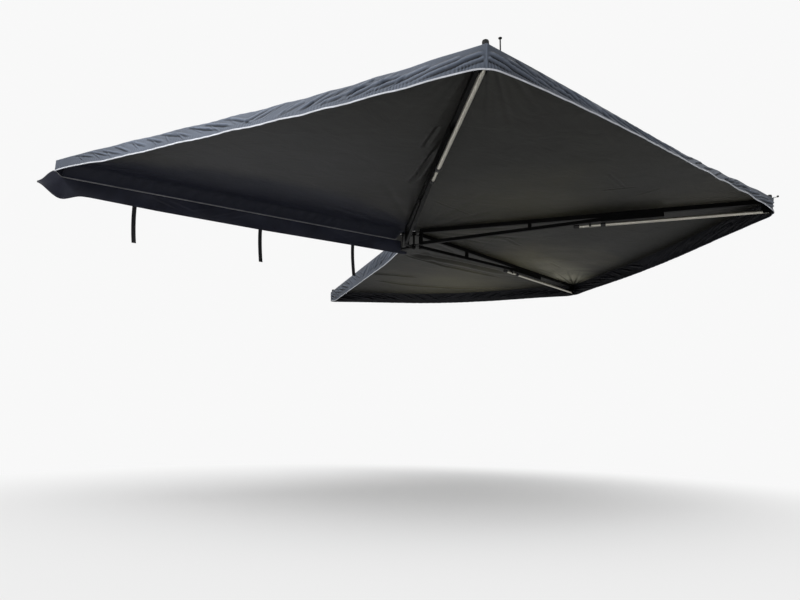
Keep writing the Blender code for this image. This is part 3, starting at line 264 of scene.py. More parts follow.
CORNER_FOLDS = {
    # panel: (corner, turn from the arm's edge as a share of the corner, length, width, height)
    1: [(0, 0.22, 0.85, 20, 4.5), (0, 0.45, 0.6, 16, 4), (0, 0.7, 0.95, 22, 5),
        (1, 0.1, 1, 20, 5.5), (1, 0.24, 0.75, 16, 4.5), (1, 0.42, 0.9, 20, 5), (1, 0.66, 0.65, 18, 4)],
    2: [(0, 0.1, 0.95, 14, 8), (0, 0.24, 0.8, 13, 8), (0, 0.4, 0.95, 15, 8), (0, 0.62, 0.7, 15, 6),
        (1, 0.12, 0.8, 18, 4), (1, 0.33, 0.95, 20, 5), (1, 0.6, 0.7, 18, 4.5)],
    3: [(0, 0.15, 0.8, 18, 4), (0, 0.4, 0.7, 20, 4.5), (0, 0.7, 0.6, 18, 4),
        (1, 0.1, 0.8, 15, 11), (1, 0.25, 1.05, 17, 13), (1, 0.42, 0.95, 16, 13),
        (1, 0.6, 0.8, 16, 11), (1, 0.8, 0.6, 16, 8)],
    4: [(0, 0.14, 0.8, 15, 8), (0, 0.32, 1.1, 18, 10), (0, 0.52, 0.9, 16, 9), (0, 0.74, 0.7, 16, 7),
        (1, 0.2, 0.6, 16, 6), (1, 0.5, 0.7, 18, 7)],
}
HUB_FOLDS = {
    # panel: (across, start, end, width, height)
    1: [(0.22, 0.25, 1.1, 26, 4), (0.48, 0.2, 0.9, 24, 4.5), (0.72, 0.22, 1.3, 26, 5),
        (0.88, 0.3, 1, 20, 4)],
    2: [(0.12, 0.25, 0.9, 20, 4), (0.36, 0.2, 1.2, 26, 4.5), (0.62, 0.25, 0.95, 24, 4),
        (0.86, 0.2, 0.8, 20, 3.5)],
    3: [(0.15, 0.22, 0.85, 20, 4), (0.42, 0.25, 1.15, 26, 5), (0.66, 0.2, 0.9, 22, 4.5),
        (0.88, 0.28, 1, 20, 4)],
    4: [(0.2, 0.22, 1, 24, 5), (0.47, 0.25, 1.35, 26, 5.5), (0.7, 0.2, 1, 22, 5),
        (0.9, 0.3, 0.9, 20, 4)],
}
LINE_FOLDS = {
    # panel: (points as (share, across), width, height)
    1: [(((0.666, 0.985), (0.425, 0.849)), 16, 11), (((0.735, 0.951), (0.635, 0.908)), 12, 8),
        (((0.606, 0.952), (0.445, 0.886)), 14, 9)],
    2: [(((0.297, 0.04), (0.271, 0.677)), 7, 2.5),
        (((0.794, 0.557), (0.776, 0.637), (0.753, 0.723)), 9, 3),
        (((0.698, 0.681), (0.797, 0.72)), 9, 3), (((0.839, 0.764), (0.74, 0.8)), 9, 3)],
    3: [(((0.315, 0.405), (0.317, 0.858)), 7, 2.5), (((0.36, 0.45), (0.453, 0.599)), 14, 4),
        (((0.685, 0.938), (0.801, 0.937)), 12, 5), (((0.764, 0.832), (0.667, 0.789)), 12, 5)],
    4: [(((0.29, 0.66), (0.36, 0.474), (0.43, 0.343), (0.51, 0.248), (0.72, 0.12)), 30, 18),
        (((0.3, 0.73), (0.4, 0.532), (0.505, 0.415), (0.587, 0.32), (0.78, 0.19)), 15, 11),
        (((0.6, 0.9), (0.64, 0.745), (0.69, 0.6)), 14, 10),
        (((0.72, 0.86), (0.8, 0.706), (0.849, 0.586), (0.89, 0.476), (0.927, 0.352), (0.985, 0.12)), 17, 12)],
}


def distance_to_line(points, line):
    """Distance of points [.., 2] from a chain of points, and the share of the chain at the nearest place."""
    line = [np.asarray(p, float)[:2] for p in line]
    lengths = [np.linalg.norm(b - a) for a, b in zip(line, line[1:])]
    best = np.full(points.shape[:-1], 1e9)
    place = np.zeros(points.shape[:-1])
    done = 0.0
    for a, b, length in zip(line, line[1:], lengths):
        along = np.clip(((points - a) @ (b - a)) / length ** 2, 0, 1)
        gap = np.linalg.norm(points - a - along[..., None] * (b - a), axis=-1)
        nearer = gap < best
        best = np.where(nearer, gap, best)
        place = np.where(nearer, (done + along * length) / sum(lengths), place)
        done += length
    return best, place


def value_noise(points, size, seed):
    """Smooth noise from -1 to 1 on points [.., 2], with features of about that size."""
    generator = np.random.default_rng(seed)
    table = generator.uniform(-1, 1, (64, 64))
    place = points / size + 17.3
    cell = np.floor(place).astype(int)
    part = ease(place - cell)
    x0, y0 = cell[..., 0] % 64, cell[..., 1] % 64
    x1, y1 = (x0 + 1) % 64, (y0 + 1) % 64
    low, high = (table[x0, y] * (1 - part[..., 0]) + table[x1, y] * part[..., 0] for y in (y0, y1))
    return low * (1 - part[..., 1]) + high * part[..., 1]


def bell(x):
    return np.exp(-x ** 2)


def ridge(gap, width, hollow, away, spread):
    """Height across a fold, 1 on its crest: hollow deep at away widths beside it, spread widths broad."""
    return bell(gap / width) - hollow * bell((gap - away * width) / (spread * width))


def corner_folds(panel, points):
    """Folds that fan out from the panel's two outer corners."""
    corners = [flat_points(panel, 1.0, side)[:2] for side in (0.0, 1.0)]
    hub = HUB_TOP[:2]
    height = np.zeros(points.shape[:-1])
    for corner, turn, length, width, tall in CORNER_FOLDS[panel]:
        at = corners[corner]
        inward, outward = hub - at, corners[1 - corner] - at
        inward, outward = inward / np.linalg.norm(inward), outward / np.linalg.norm(outward)
        heading = inward * (1 - turn) + outward * turn
        heading /= np.linalg.norm(heading)
        offset = points - at
        along = offset @ heading
        aside = np.abs(offset[..., 0] * heading[1] - offset[..., 1] * heading[0])
        breadth = width * MM * (0.35 + 0.9 * np.clip(along / length, 0, 1.4))
        window = ease(along / 0.10) * (1 - ease(along / length))
        height += tall * MM * window * ridge(aside, breadth, 0.45, 1.9, 1.1)
    return height


def line_folds(panel, points):
    """Folds from the hub outward, and single ones elsewhere on the panel."""
    height = np.zeros(points.shape[:-1])
    for side, start, end, width, tall in HUB_FOLDS[panel]:
        line = [flat_points(panel, start / REACH, side)[:2], flat_points(panel, end / REACH, side)[:2]]
        gap, place = distance_to_line(points, line)
        height += tall * MM * np.sin(pi * place) ** 1.5 * ridge(gap, width * MM, 0.4, 2, 1.2)
    for line, width, tall in LINE_FOLDS[panel]:
        gap, place = distance_to_line(points, [flat_points(panel, *at)[:2] for at in line])
        window = ease(place / 0.12) * ease((1 - place) / 0.25)
        height += tall * MM * window * ridge(gap, width * MM, 0.5, 1.8, 1)
    return height


def relief(panel, share, across):
    """Height of the folds in a panel, in metres. It is still along the arms and at the hub."""
    points = flat_points(panel, share, across)[..., :2]
    height = corner_folds(panel, points) + line_folds(panel, points)
    height += 3.5 * MM * value_noise(points, 0.55, panel) + 1.6 * MM * value_noise(points, 0.17, 40 + panel)
    chord = (1 - share) * PANEL_HEIGHT
    along_edge = share * across * PANEL_WIDTH
    # puckers along the seam of the valance
    pucker = np.sin(2 * pi * along_edge / PUCKER_PITCH + 3 * np.sin(along_edge * 5)) * np.exp(-chord / 0.05)
    height += 1.3 * MM * pucker * np.sin(pi * across)
    if panel < 3:
        # flutter of the looser outer edges
        flutter = np.sin(2 * pi * across / FLUTTER_PITCH + 1.5 * np.sin(9 * across))
        flutter *= ease((1 - across) / 0.12)
        flutter *= ease((across - 0.45) / 0.2) if panel == 2 else 0.6 * ease(across / 0.3)
        height += 9 * MM * flutter * np.exp(-chord / 0.06)
    angle = SPREAD * across
    aside = np.minimum(np.abs(np.sin(angle)), np.abs(np.sin(SPREAD - angle))) * share * REACH
    rim = ease(chord / 0.05)
    return height * ease((aside - 16 * MM) / 0.11) * (0.45 + 0.55 * rim) * ease(share / 0.06)


def rail_edge(share):
    """Rail-side edge of the first panel: over the hub bracket, down to the rail's track, to the corner."""
    s = np.asarray(share, float) * REACH
    track_y = RAIL_FACE - 4.3 * MM - PIVOT.y
    track_drop = CANOPY_Z - TRACK_Z - 4 * MM
    back, down = (ease((s - start) / length) for start, length in (EDGE_BACK, EDGE_DOWN))
    forward = ease((s - REACH + EDGE_FORWARD) / EDGE_FORWARD)
    y = (HUB_SIDE + (track_y - HUB_SIDE) * back) * (1 - forward)
    drop = track_drop * down + (CORNER_DROP - track_drop) * forward
    return np.stack([-s, y, -drop], axis=-1) + HUB_TOP


# Materials

class Shader:
    """One material, with short calls for adding and joining its nodes."""

    def __init__(self, name):
        self.material = bpy.data.materials.new(name)
        self.material.use_nodes = True
        self.tree = self.material.node_tree
        self.tree.nodes.clear()
        self.surface = self.add("BsdfPrincipled")
        self.output = self.add("OutputMaterial", {"Surface": self.surface})

    def plug(self, value, socket):
        """A node stands for its first live output."""
        if isinstance(value, bpy.types.Node):
            value = next(out for out in value.outputs if out.enabled)
        if isinstance(value, bpy.types.NodeSocket):
            self.tree.links.new(value, socket)
        else:
            socket.default_value = value

    def add(self, kind, inputs=None, **settings):
        node = self.tree.nodes.new("ShaderNode" + kind)
        for key, value in settings.items():
            setattr(node, key, value)
        for key, value in (inputs or {}).items():
            self.plug(value, node.inputs[key])
        return node

    def coords(self, output="Object"):
        """Places on the surface, in metres, or the cloth's own from its uv layer."""
        return self.add("TexCoord").outputs[output]

    def noise(self, vector, scale, detail, rough=0.55, distortion=0.0):
        """Scale is one number, or one for each axis."""
        if isinstance(scale, tuple):
            vector, scale = self.add("Mapping", {"Vector": vector, "Scale": scale}), 1.0
        return self.add("TexNoise", {"Vector": vector, "Scale": scale, "Detail": detail,
                                              "Roughness": rough, "Distortion": distortion})

    def ramp(self, value, *stops):
        """Stops are (place, grey or colour)."""
        node = self.add("ValToRGB", {"Fac": value})
        elements = node.color_ramp.elements
        while len(elements) < len(stops):
            elements.new(0.5)
        for element, (place, colour) in zip(elements, stops):
            element.position = place
            element.color = (*colour, 1) if isinstance(colour, tuple) else (colour, colour, colour, 1)
        return node

    def maths(self, operation, *values):
        node = self.add("Math", operation=operation)
        for socket, value in zip(node.inputs, values):
            self.plug(value, socket)
        return node

    def line(self, value, slope, start):
        return self.maths("MULTIPLY_ADD", value, slope, start)

    def mix(self, factor, first, second, blend="MIX"):
        node = self.add("Mix", data_type="RGBA", blend_type=blend)
        for socket, value in zip([s for s in node.inputs if s.enabled], (factor, first, second)):
            if isinstance(value, tuple):
                value = (*value, 1)
            self.plug(value, socket)
        return node

    def shade(self, value, limits, first, second, share=None):
        """From first to second while value rises between the limits, or only a share of the way."""
        factor = self.ramp(value, (limits[0], 0.0), (limits[1], 1.0))
        if share is not None:
            factor = self.maths("MULTIPLY", factor, share)
        return self.mix(factor, first, second)

    def fade(self, value, start, end, first=0.0, last=1.0):
        """Smooth step from first to last while value goes from start to end."""
        return self.add("MapRange", {"Value": value, "From Min": start, "From Max": end,
                                               "To Min": first, "To Max": last},
                        interpolation_type="SMOOTHSTEP")

    def painted_crease_shading(self, colour, hollow, crest):
        """Colour with painted shade in the hollows of the mesh and a painted highlight on its crests."""
        point = self.add("NewGeometry").outputs["Pointiness"]
        factor = self.ramp(point, (0.44, hollow / crest), (0.5, 1.0 / crest), (0.56, 1.0))
        lit = self.mix(1.0, colour, (crest, crest, crest), "MULTIPLY")
        return self.mix(1.0, lit, factor, "MULTIPLY")

    def bump(self, height, distance, strength, normal=None):
        inputs = {"Height": height, "Distance": distance, "Strength": strength}
        if normal is not None:
            inputs["Normal"] = normal
        return self.add("Bump", inputs)

    def finish(self, **inputs):
        names = {"colour": "Base Color", "rough": "Roughness", "metal": "Metallic", "normal": "Normal",
                 "specular": "Specular IOR Level", "sheen": "Sheen Weight", "sheen_rough": "Sheen Roughness",
                 "anisotropic": "Anisotropic"}
        for key, value in inputs.items():
            if isinstance(value, tuple):
                value = (*value, 1)
            self.plug(value, self.surface.inputs[names[key]])
        return self.material


def scaled(colour, factor, more=0.0):
    return tuple(min(1.0, c * factor + more) for c in colour)


def thread_grid(s, uv):
    """Height of the ripstop grid, from 0 to 1: raised threads at a pitch."""
    split = s.add("SeparateXYZ", {"Vector": uv})
    half = RIPSTOP_PITCH / 2
    lines = []
    for axis in ("X", "Y"):
        part = s.maths("DIVIDE", s.maths("PINGPONG", split.outputs[axis], half), half)
        lines.append(s.ramp(part, (0.0, 1.0), (RIPSTOP_THREAD, 0.0)))
    return s.maths("MAXIMUM", *lines)


def weave(s, uv):
    """Height of a plain weave, from -1 to 1."""
    split = s.add("SeparateXYZ", {"Vector": uv})
    waves = []
    for axis in ("X", "Y"):
        turns = s.maths("MULTIPLY", split.outputs[axis], 2 * pi / WEAVE_PITCH)
        waves.append(s.maths("SINE", turns))
    return s.maths("MULTIPLY", *waves)


def outer_cloth(name, colour):
    """Blue-grey ripstop polyester, as seen from outside."""
    s = Shader(name)
    uv = s.coords("UV")
    cloudy = s.noise(uv, 2.3, 4, 0.6, 0.4)
    streaks = s.noise(uv, (3, 40, 1), 3)
    grid = thread_grid(s, uv)
    dusty = s.noise(uv, 26, 6, 0.7)
    light = scaled(colour, 1.28)
    body = s.shade(cloudy, (0.3, 0.72), scaled(colour, 0.72), light)
    body = s.shade(streaks, (0.35, 0.7), body, light, 0.25)
    body = s.mix(s.maths("MULTIPLY", grid, 0.35), body, scaled(colour, 1.6))
    body = s.shade(dusty, (0.55, 0.8), body, (0.23, 0.24, 0.25), 0.3)
    height = s.maths("ADD", s.maths("MULTIPLY", weave(s, uv), 0.12), grid)
    crumple = s.noise(uv, (9, 22, 1), 5, 0.6, 0.8)
    normal = s.bump(crumple, 5 * MM, 0.55, s.bump(height, 0.12 * MM, 0.8))
    # Painted shade in the folds' hollows and painted highlights on their crests.
    return s.finish(colour=s.painted_crease_shading(body, 0.16, 1.6), rough=s.line(dusty, 0.25, 0.42),
                    normal=normal, specular=0.35, sheen=0.1, sheen_rough=0.4)


def rail_shadow(s, uv):
    """Share of the painted dark blue shadow: 1 at the rail, 0 past a limit that swells in the middle."""
    split = s.add("SeparateXYZ", {"Vector": uv})
    wavy = s.noise(uv, (2.5, 5, 1), 4, 0.6)
    along = s.maths("DIVIDE", s.maths("ADD", split.outputs["X"], 1.18), 1.3)
    swell = s.maths("SUBTRACT", 1.0, s.maths("POWER", s.maths("ABSOLUTE", along), 2.0))
    swell = s.maths("POWER", s.maths("MAXIMUM", swell, 0.0), 1.1)
    depth = s.maths("MULTIPLY", split.outputs["Y"], -1.0)
    edge = s.maths("SUBTRACT", depth, s.maths("MULTIPLY", swell, 0.40))
    edge = s.maths("ADD", edge, s.line(wavy, 0.16, -0.08))
    return s.fade(edge, -0.06, 0.14, 1.0, 0.0)


def inner_cloth(name, colour, light_pools=(), rail_shadow_colour=None):
    """Coated underside, with a painted dark blue shadow along the rail. Light pools are paler patches of
    painted light: (x, y, radius, colour), from the pivot.
    """
    s = Shader(name)
    uv = s.coords("UV")
    cloudy = s.noise(uv, 1.3, 5, 0.6, 0.6)
    fine = s.noise(uv, 11, 5, 0.65)
    light = scaled(colour, 1.5)
    body = s.shade(cloudy, (0.3, 0.75), scaled(colour, 0.66), light)
    body = s.shade(fine, (0.45, 0.8), body, light, 0.25)
    patchy = s.noise(uv, (2.0, 3.2, 1), 5, 0.6, 0.5)
    # Pools of painted light: the underside is paler round each point, as if lit there.
    for x, y, radius, tint in light_pools:
        gap = s.add("VectorMath", {0: uv, 1: (x, y, 0)}, operation="DISTANCE").outputs["Value"]
        gap = s.maths("ADD", gap, s.line(patchy, 0.7, -0.35))
        lit_tint = s.shade(cloudy, (0.3, 0.75), scaled(tint, 0.82), scaled(tint, 1.25))
        body = s.mix(s.fade(gap, 0.0, radius, 1.0, 0.0), body, lit_tint)
    # Painted shadow: dark blue along the rail, where the rail and bag shade the underside.
    if rail_shadow_colour:
        body = s.mix(rail_shadow(s, uv), body, rail_shadow_colour)
    height = s.maths("ADD", s.maths("MULTIPLY", weave(s, uv), 0.1), thread_grid(s, uv))
    crumple = s.noise(uv, (5, 7, 1), 6, 0.62, 0.9)
    normal = s.bump(crumple, 9 * MM, 0.5, s.bump(height, 0.08 * MM, 0.6))
    # Painted shade in the folds' hollows and painted highlights on their crests.
    return s.finish(colour=s.painted_crease_shading(body, 0.42, 1.42), rough=s.line(cloudy, 0.2, 0.42),
                    normal=normal, specular=0.22)


def plain_cloth(name, colour, pitch=0.9 * MM):
    """Woven or coated cloth of one colour, for piping, tape and straps."""
    s = Shader(name)
    at = s.coords()
    mottle = s.noise(at, 18, 4, 0.6)
    fine = s.noise(at, 420, 3, 0.6)
    body = s.shade(mottle, (0.3, 0.75), scaled(colour, 0.78), scaled(colour, 1.18))
    body = s.shade(fine, (0.5, 0.75), body, scaled(colour, 1.5, 0.01), 0.2)
    wave = s.add("TexWave", {"Vector": at, "Scale": 1 / pitch / 10, "Distortion": 0.4})
    normal = s.bump(mottle, 1.2 * MM, 0.4, s.bump(wave.outputs["Fac"], 0.15 * MM, 0.5))
    return s.finish(colour=body, rough=s.line(mottle, 0.2, 0.6), normal=normal,
                    specular=0.3, sheen=0.1, sheen_rough=0.4)


def bag_cloth(name, colour):
    """Heavy coated cloth of the cover bag: near black, with a low sheen and fine grain."""
    s = Shader(name)
    at = s.coords()
    cloudy = s.noise(at, 5, 5, 0.6, 0.5)
    grain = s.add("TexVoronoi", {"Vector": at, "Scale": 520}, feature="SMOOTH_F1")
    scuffs = s.noise(at, (14, 60, 90), 6, 0.7)
    body = s.shade(cloudy, (0.3, 0.75), scaled(colour, 0.7), scaled(colour, 1.5))
    body = s.shade(scuffs, (0.6, 0.82), body, (0.035, 0.037, 0.045), 0.35)
    normal = s.bump(cloudy, 8 * MM, 0.35, s.bump(grain.outputs["Distance"], 0.15 * MM, 0.6))
    return s.finish(colour=body, rough=s.line(scuffs, 0.25, 0.38), normal=normal,
                    specular=0.4)


def powder_coat(name, colour, rough=0.42):
    """Black powder coat: fine orange peel, worn a little lighter here and there."""
    s = Shader(name)
    at = s.coords()
    peel = s.noise(at, 900, 2, 0.5)
    mottle = s.noise(at, 14, 5, 0.65)
    wear = s.noise(at, (60, 60, 60), 8, 0.75)
    dust = s.noise(at, 4, 6, 0.7)
    body = s.shade(mottle, (0.3, 0.8), colour, scaled(colour, 2.2))
    body = s.shade(wear, (0.66, 0.78), body, (0.03, 0.03, 0.028), 0.3)
    body = s.shade(dust, (0.5, 0.85), body, (0.014, 0.014, 0.013), 0.2)
    return s.finish(colour=body, rough=s.line(mottle, 0.25, rough - 0.1),
                    normal=s.bump(peel, 0.12 * MM, 0.5), specular=0.07)


def bare_metal(name, colour, rough, drawn, scratch=0.5):
    """Bare metal with marks drawn out along one way."""
    s = Shader(name)
    at = s.coords()
    lines = s.noise(at, drawn, 6, 0.7)
    mottle = s.noise(at, 9, 5, 0.6)
    smudge = s.noise(at, 2.5, 5, 0.65, 0.5)
    body = s.shade(mottle, (0.3, 0.75), scaled(colour, 0.86), colour)
    body = s.shade(smudge, (0.5, 0.8), body, scaled(colour, 0.6), 0.3)
    marks = s.maths("MULTIPLY", s.maths("SUBTRACT", lines, 0.5), scratch)
    return s.finish(colour=body, metal=1.0, rough=s.maths("MAXIMUM", s.maths("ADD", rough, marks), 0.12),
                    normal=s.bump(lines, 0.1 * MM, 0.35), anisotropic=0.3)


def moulded(name, colour, rough=0.5, grain=700):
    """Moulded plastic or rubber: fine spark-eroded grain, faint scuffs."""
    s = Shader(name)
    at = s.coords()
    pitted = s.noise(at, grain, 3, 0.6)
    mottle = s.noise(at, 30, 4, 0.6)
    scuffs = s.noise(at, (40, 90, 90), 7, 0.72)
    body = s.shade(mottle, (0.3, 0.75), colour, scaled(colour, 1.9))
    body = s.shade(scuffs, (0.62, 0.8), body, (0.06, 0.06, 0.06), 0.35)
    return s.finish(colour=body, rough=s.line(scuffs, 0.25, rough - 0.1),
                    normal=s.bump(pitted, 0.15 * MM, 0.5), specular=0.4)


OUTER = outer_cloth("ripstop_outer", (0.088, 0.104, 0.136))
# The same coated cloth in four copies, each lighter or darker by painted light and shade; the pools are
# painted light, and the first has a painted shadow along the rail.
UNDERSIDES = {
    1: inner_cloth("coated_underside_1", (0.0138, 0.0136, 0.0120),
                   [(-1.55, -0.55, 1.35, (0.0300, 0.0302, 0.0320))], rail_shadow_colour=(0.0080, 0.0094, 0.0175)),
    2: inner_cloth("coated_underside_2", (0.0162, 0.0161, 0.0136),
                   [(0.32, -0.98, 0.80, (0.039, 0.037, 0.0235)), (1.40, -1.62, 0.70, (0.042, 0.040, 0.031))]),
    3: inner_cloth("coated_underside_3", (0.0118, 0.0118, 0.0098),
                   [(0.45, -0.25, 0.80, (0.0250, 0.0245, 0.0165)), (1.40, 0.22, 0.95, (0.080, 0.074, 0.046)),
                    (1.68, 0.27, 0.48, (0.170, 0.162, 0.118)), (2.06, 0.46, 0.42, (0.270, 0.260, 0.195))]),
    4: inner_cloth("coated_underside_4", (0.0180, 0.0177, 0.0148),
                   [(1.25, 1.20, 1.05, (0.096, 0.090, 0.059))]),
}
# Back of the hanging edges: the cloth's dark blue, darkened to near black as painted shade.
INNER_HEM = inner_cloth("valance_inside", (0.0075, 0.008, 0.011))
WHITE_PIPING = plain_cloth("white_piping", (0.62, 0.64, 0.69))
GREY_PIPING = plain_cloth("grey_piping", (0.225, 0.225, 0.235))
SEAM_TAPE = plain_cloth("seam_tape", (0.06, 0.072, 0.10))
THREAD = plain_cloth("thread", (0.11, 0.12, 0.15))
WEBBING = plain_cloth("webbing", (0.012, 0.012, 0.014), pitch=1.6 * MM)
BAG = bag_cloth("bag_cloth", (0.0155, 0.0172, 0.0290))
TUBE_BLACK = powder_coat("tube_powder_coat", (0.0022, 0.0022, 0.0022))
STEEL_BLACK = powder_coat("steel_powder_coat", (0.0018, 0.0018, 0.0019), 0.46)
TUBE_BRIGHT = bare_metal("leg_tube", (0.66, 0.635, 0.555), 0.34, (30, 30, 400))
RAIL_METAL = bare_metal("rail_anodised", (0.55, 0.55, 0.54), 0.38, (3, 600, 600))
ZINC = bare_metal("zinc_plate", (0.60, 0.60, 0.58), 0.36, (160, 160, 160), 0.35)
DARK_STEEL = bare_metal("dark_steel", (0.06, 0.06, 0.06), 0.42, (160, 160, 160), 0.35)
PLASTIC = moulded("black_plastic", (0.010, 0.010, 0.0105))
RUBBER = moulded("black_rubber", (0.009, 0.009, 0.009), 0.68, 420)

NODE_MATERIALS = {
    "rail_aluminium": RAIL_METAL, "bright_tube": TUBE_BRIGHT, "black_tube": TUBE_BLACK,
    "black_steel": STEEL_BLACK, "zinc": ZINC, "black_plastic": PLASTIC, "black_rubber": RUBBER,
    "canvas": OUTER, "bag_vinyl": BAG, "webbing": WEBBING,
}


def dress_frame():
    """Materials and softened edges for the frame's own solids."""
    for name, obj in NODES.items():
        obj.data.materials.clear()
        dark = name == "guy_pin" or name.startswith("hub_") and SLOT_OF[name] == "zinc"
        obj.data.materials.append(DARK_STEEL if dark else NODE_MATERIALS[SLOT_OF[name]])
        bevel = obj.modifiers.new("Edges", "BEVEL")
        bevel.width = 0.5 * MM
        bevel.segments = 2
        bevel.limit_method = "ANGLE"
        bevel.angle_limit = radians(40)


# Cloth pieces

def border(panel):
    """Outer edge of a panel: shares across, places, outward vectors, drops of the valance and lengths."""
    across = np.linspace(0, 1, EDGE_POINTS)
    share = np.ones(EDGE_POINTS)
    middle = (corner_angle(panel - 1) + corner_angle(panel)) / 2
    outward = np.tile(np.array(direction(middle)), (EDGE_POINTS, 1))
    drops = np.full(EDGE_POINTS, VALANCE_DROP)
    if panel == 1:
        drops = VALANCE_DROP * (0.64 + 0.36 * ease(across / 0.24))
    if panel == ARM_COUNT:
        side = np.array(left_of(arm_angle(ARM_COUNT)))
        more = int(EDGE_POINTS * (1 - LAST_EDGE_END))
        back = np.linspace(1, LAST_EDGE_END, more)[1:]
        across = np.concatenate([across, np.ones(more - 1)])
        share = np.concatenate([share, back])
        outward = np.concatenate([outward, np.tile(side, (more - 1, 1))])
        first = outward[0].copy()
        for step in range(-CORNER_TURN, CORNER_TURN + 1):
            mix = ease((step + CORNER_TURN) / (2 * CORNER_TURN))
            both = first * (1 - mix) + side * mix
            outward[EDGE_POINTS - 1 + step] = both / np.linalg.norm(both)
        full = 0.8 + 0.2 * ease((back - LAST_EDGE_END) / 0.16)
        drops = np.concatenate([drops, VALANCE_DROP * full + LAST_EDGE_MORE * ease((1 - back) / 0.12)])
    places = flat_points(panel, share, across)
    places[..., 2] += relief(panel, share, across)
    return across, places, outward, drops, lengths_along(places)


def roll(lengths, depth, start, end, size):
    """A crease of a hanging cloth from start to end: a ridge with a hollow under it, up to 1 high."""
    down = depth[:, None] * VALANCE_DROP
    first = np.array([start[0], start[1] * VALANCE_DROP])
    line = np.array([end[0], end[1] * VALANCE_DROP]) - first
    length = np.linalg.norm(line)
    along = ((lengths - first[0]) * line[0] + (down - first[1]) * line[1]) / length ** 2
    above = ((lengths - first[0]) * line[1] - (down - first[1]) * line[0]) / length
    if line[0] < 0:
        above = -above
    window = ease(along / 0.10) * ease((1 - along) / 0.40)
    return window * (bell((above - 1.1 * size) / size) - 0.9 * bell((above + 0.5 * size) / size))


HELD_CREASES = (
    # start and end as (from the corner, share of the drop), height in mm
    ((0.004, 0.40), (0.36, 0.84), 14), ((0.004, 0.58), (0.15, 0.80), 10), ((0.10, 0.34), (0.42, 0.76), 9),
    ((0.24, 0.32), (0.60, 0.76), 9), ((0.38, 0.28), (0.74, 0.76), 9), ((0.52, 0.26), (0.84, 0.74), 8),
)


def creases(lengths, depth, corners, held, seed):
    """Creases of hanging cloth, in metres. From held corners long ones run down and away."""
    generator = np.random.default_rng(seed)
    pick = generator.uniform
    field = np.zeros((len(depth), len(lengths)))
    for near, far in zip(corners, corners[1:]):
        place = near + 0.16
        middle = 0.45 * near + 0.55 * far
        while place < far - 0.30:
            away = 1 if place < middle else -1
            start = pick(0.0, 0.18)
            field += pick(5.0, 9.0) * MM * roll(lengths, depth, (place, start),
                                                (place + away * pick(0.17, 0.26), start + pick(0.60, 0.78)),
                                                pick(5.5, 8) * MM)
            field += pick(2.0, 4.0) * MM * roll(lengths, depth, (place + 0.05, start + 0.2),
                                                (place + 0.05 + away * pick(0.06, 0.12), pick(0.7, 0.95)),
                                                pick(3.5, 5) * MM)
            place += pick(0.09, 0.15)
            if abs(place - middle) < 0.12:
                place += 0.20
        for corner, away in ((near, 1), (far, -1)):
            if corner not in held:
                continue
            for first, last, tall in HELD_CREASES:
                field += tall * MM * roll(lengths, depth, (corner + away * first[0], first[1]),
                                          (corner + away * last[0], last[1]), 8 * MM)
    return field


def gathers(lengths, still):
    """Small waves of a gathered hem, from -1 to 1. They are stronger near the corners."""
    wave = np.sin(2 * pi * lengths / GATHER_PITCH + 2.5 * np.sin(lengths * 9) + 1.7 * np.sin(lengths * 41))
    uneven = 0.5 + 0.5 * np.sin(lengths * 23 + 2 * np.sin(lengths * 7))
    return wave * ((0.35 + 0.65 * uneven) * (0.6 + 0.4 * np.exp(-still / 0.35)))


def valance_points(panel, places, outward, drops, lengths, corners):
    """Rows of a valance from the seam down to the hem, and the outward vectors turned at the corners."""
    total = lengths[-1]
    calm = np.minimum(1, np.minimum(lengths, total - lengths) / (0.125 * total))
    short = np.sin(2 * pi * lengths / 0.172 + panel)
    slow = np.sin(2 * pi * lengths / 0.290 + 2 * panel)
    fold = 2.5 * MM * calm * (1 + (short + 0.6 * slow) / 1.6) / 2
    most, skew = VALANCE_SWINGS[panel]
    swing = radians(most) * np.sin(pi * np.clip(lengths / corners[1], 0, 1) ** skew) ** 0.6
    level = VALANCE_ROWS[:, None]
    still = np.min([np.abs(lengths - corner) for corner in corners], axis=0)
    ends = 0.5 + 0.5 * ease(still / 0.012)
    body = np.sin(pi * level) ** 0.6
    shift = 1.5 * MM + fold * level
    held = corners[1:] if panel == 1 else corners
    shift += creases(lengths, VALANCE_ROWS, corners, held, 10 + panel) * body * ends
    hem_zone = ease((level - 0.60) / 0.12) * ease((1.02 - level) / 0.14)
    shift += 1.5 * MM * gathers(lengths, still) * hem_zone
    round_off = np.zeros(len(lengths))
    inward = np.zeros((len(lengths), 3))
    for corner, number in zip(corners, (panel - 1, panel)):
        if number:
            near = np.clip(1 - np.abs(lengths - corner) / 0.07, 0, 1) ** 2
            round_off += near
            towards = np.array(direction(corner_angle(number)))
            inward -= towards * near[:, None]
            if number < ARM_COUNT:
                turn = ease(1 - np.abs(lengths - corner) / 0.05)[:, None]
                outward = outward * (1 - turn) + towards * turn
    drops = drops - 2 * MM * round_off
    shift += drops * np.sin(swing) * level
    points = places + outward * shift[..., None]
    points += inward * 21 * MM * level[..., None]
    points[..., 2] -= drops * np.cos(swing) * level
    points[0] = places + outward * 1.5 * MM
    points[0][:, 2] -= 1.5 * MM
    return points, outward


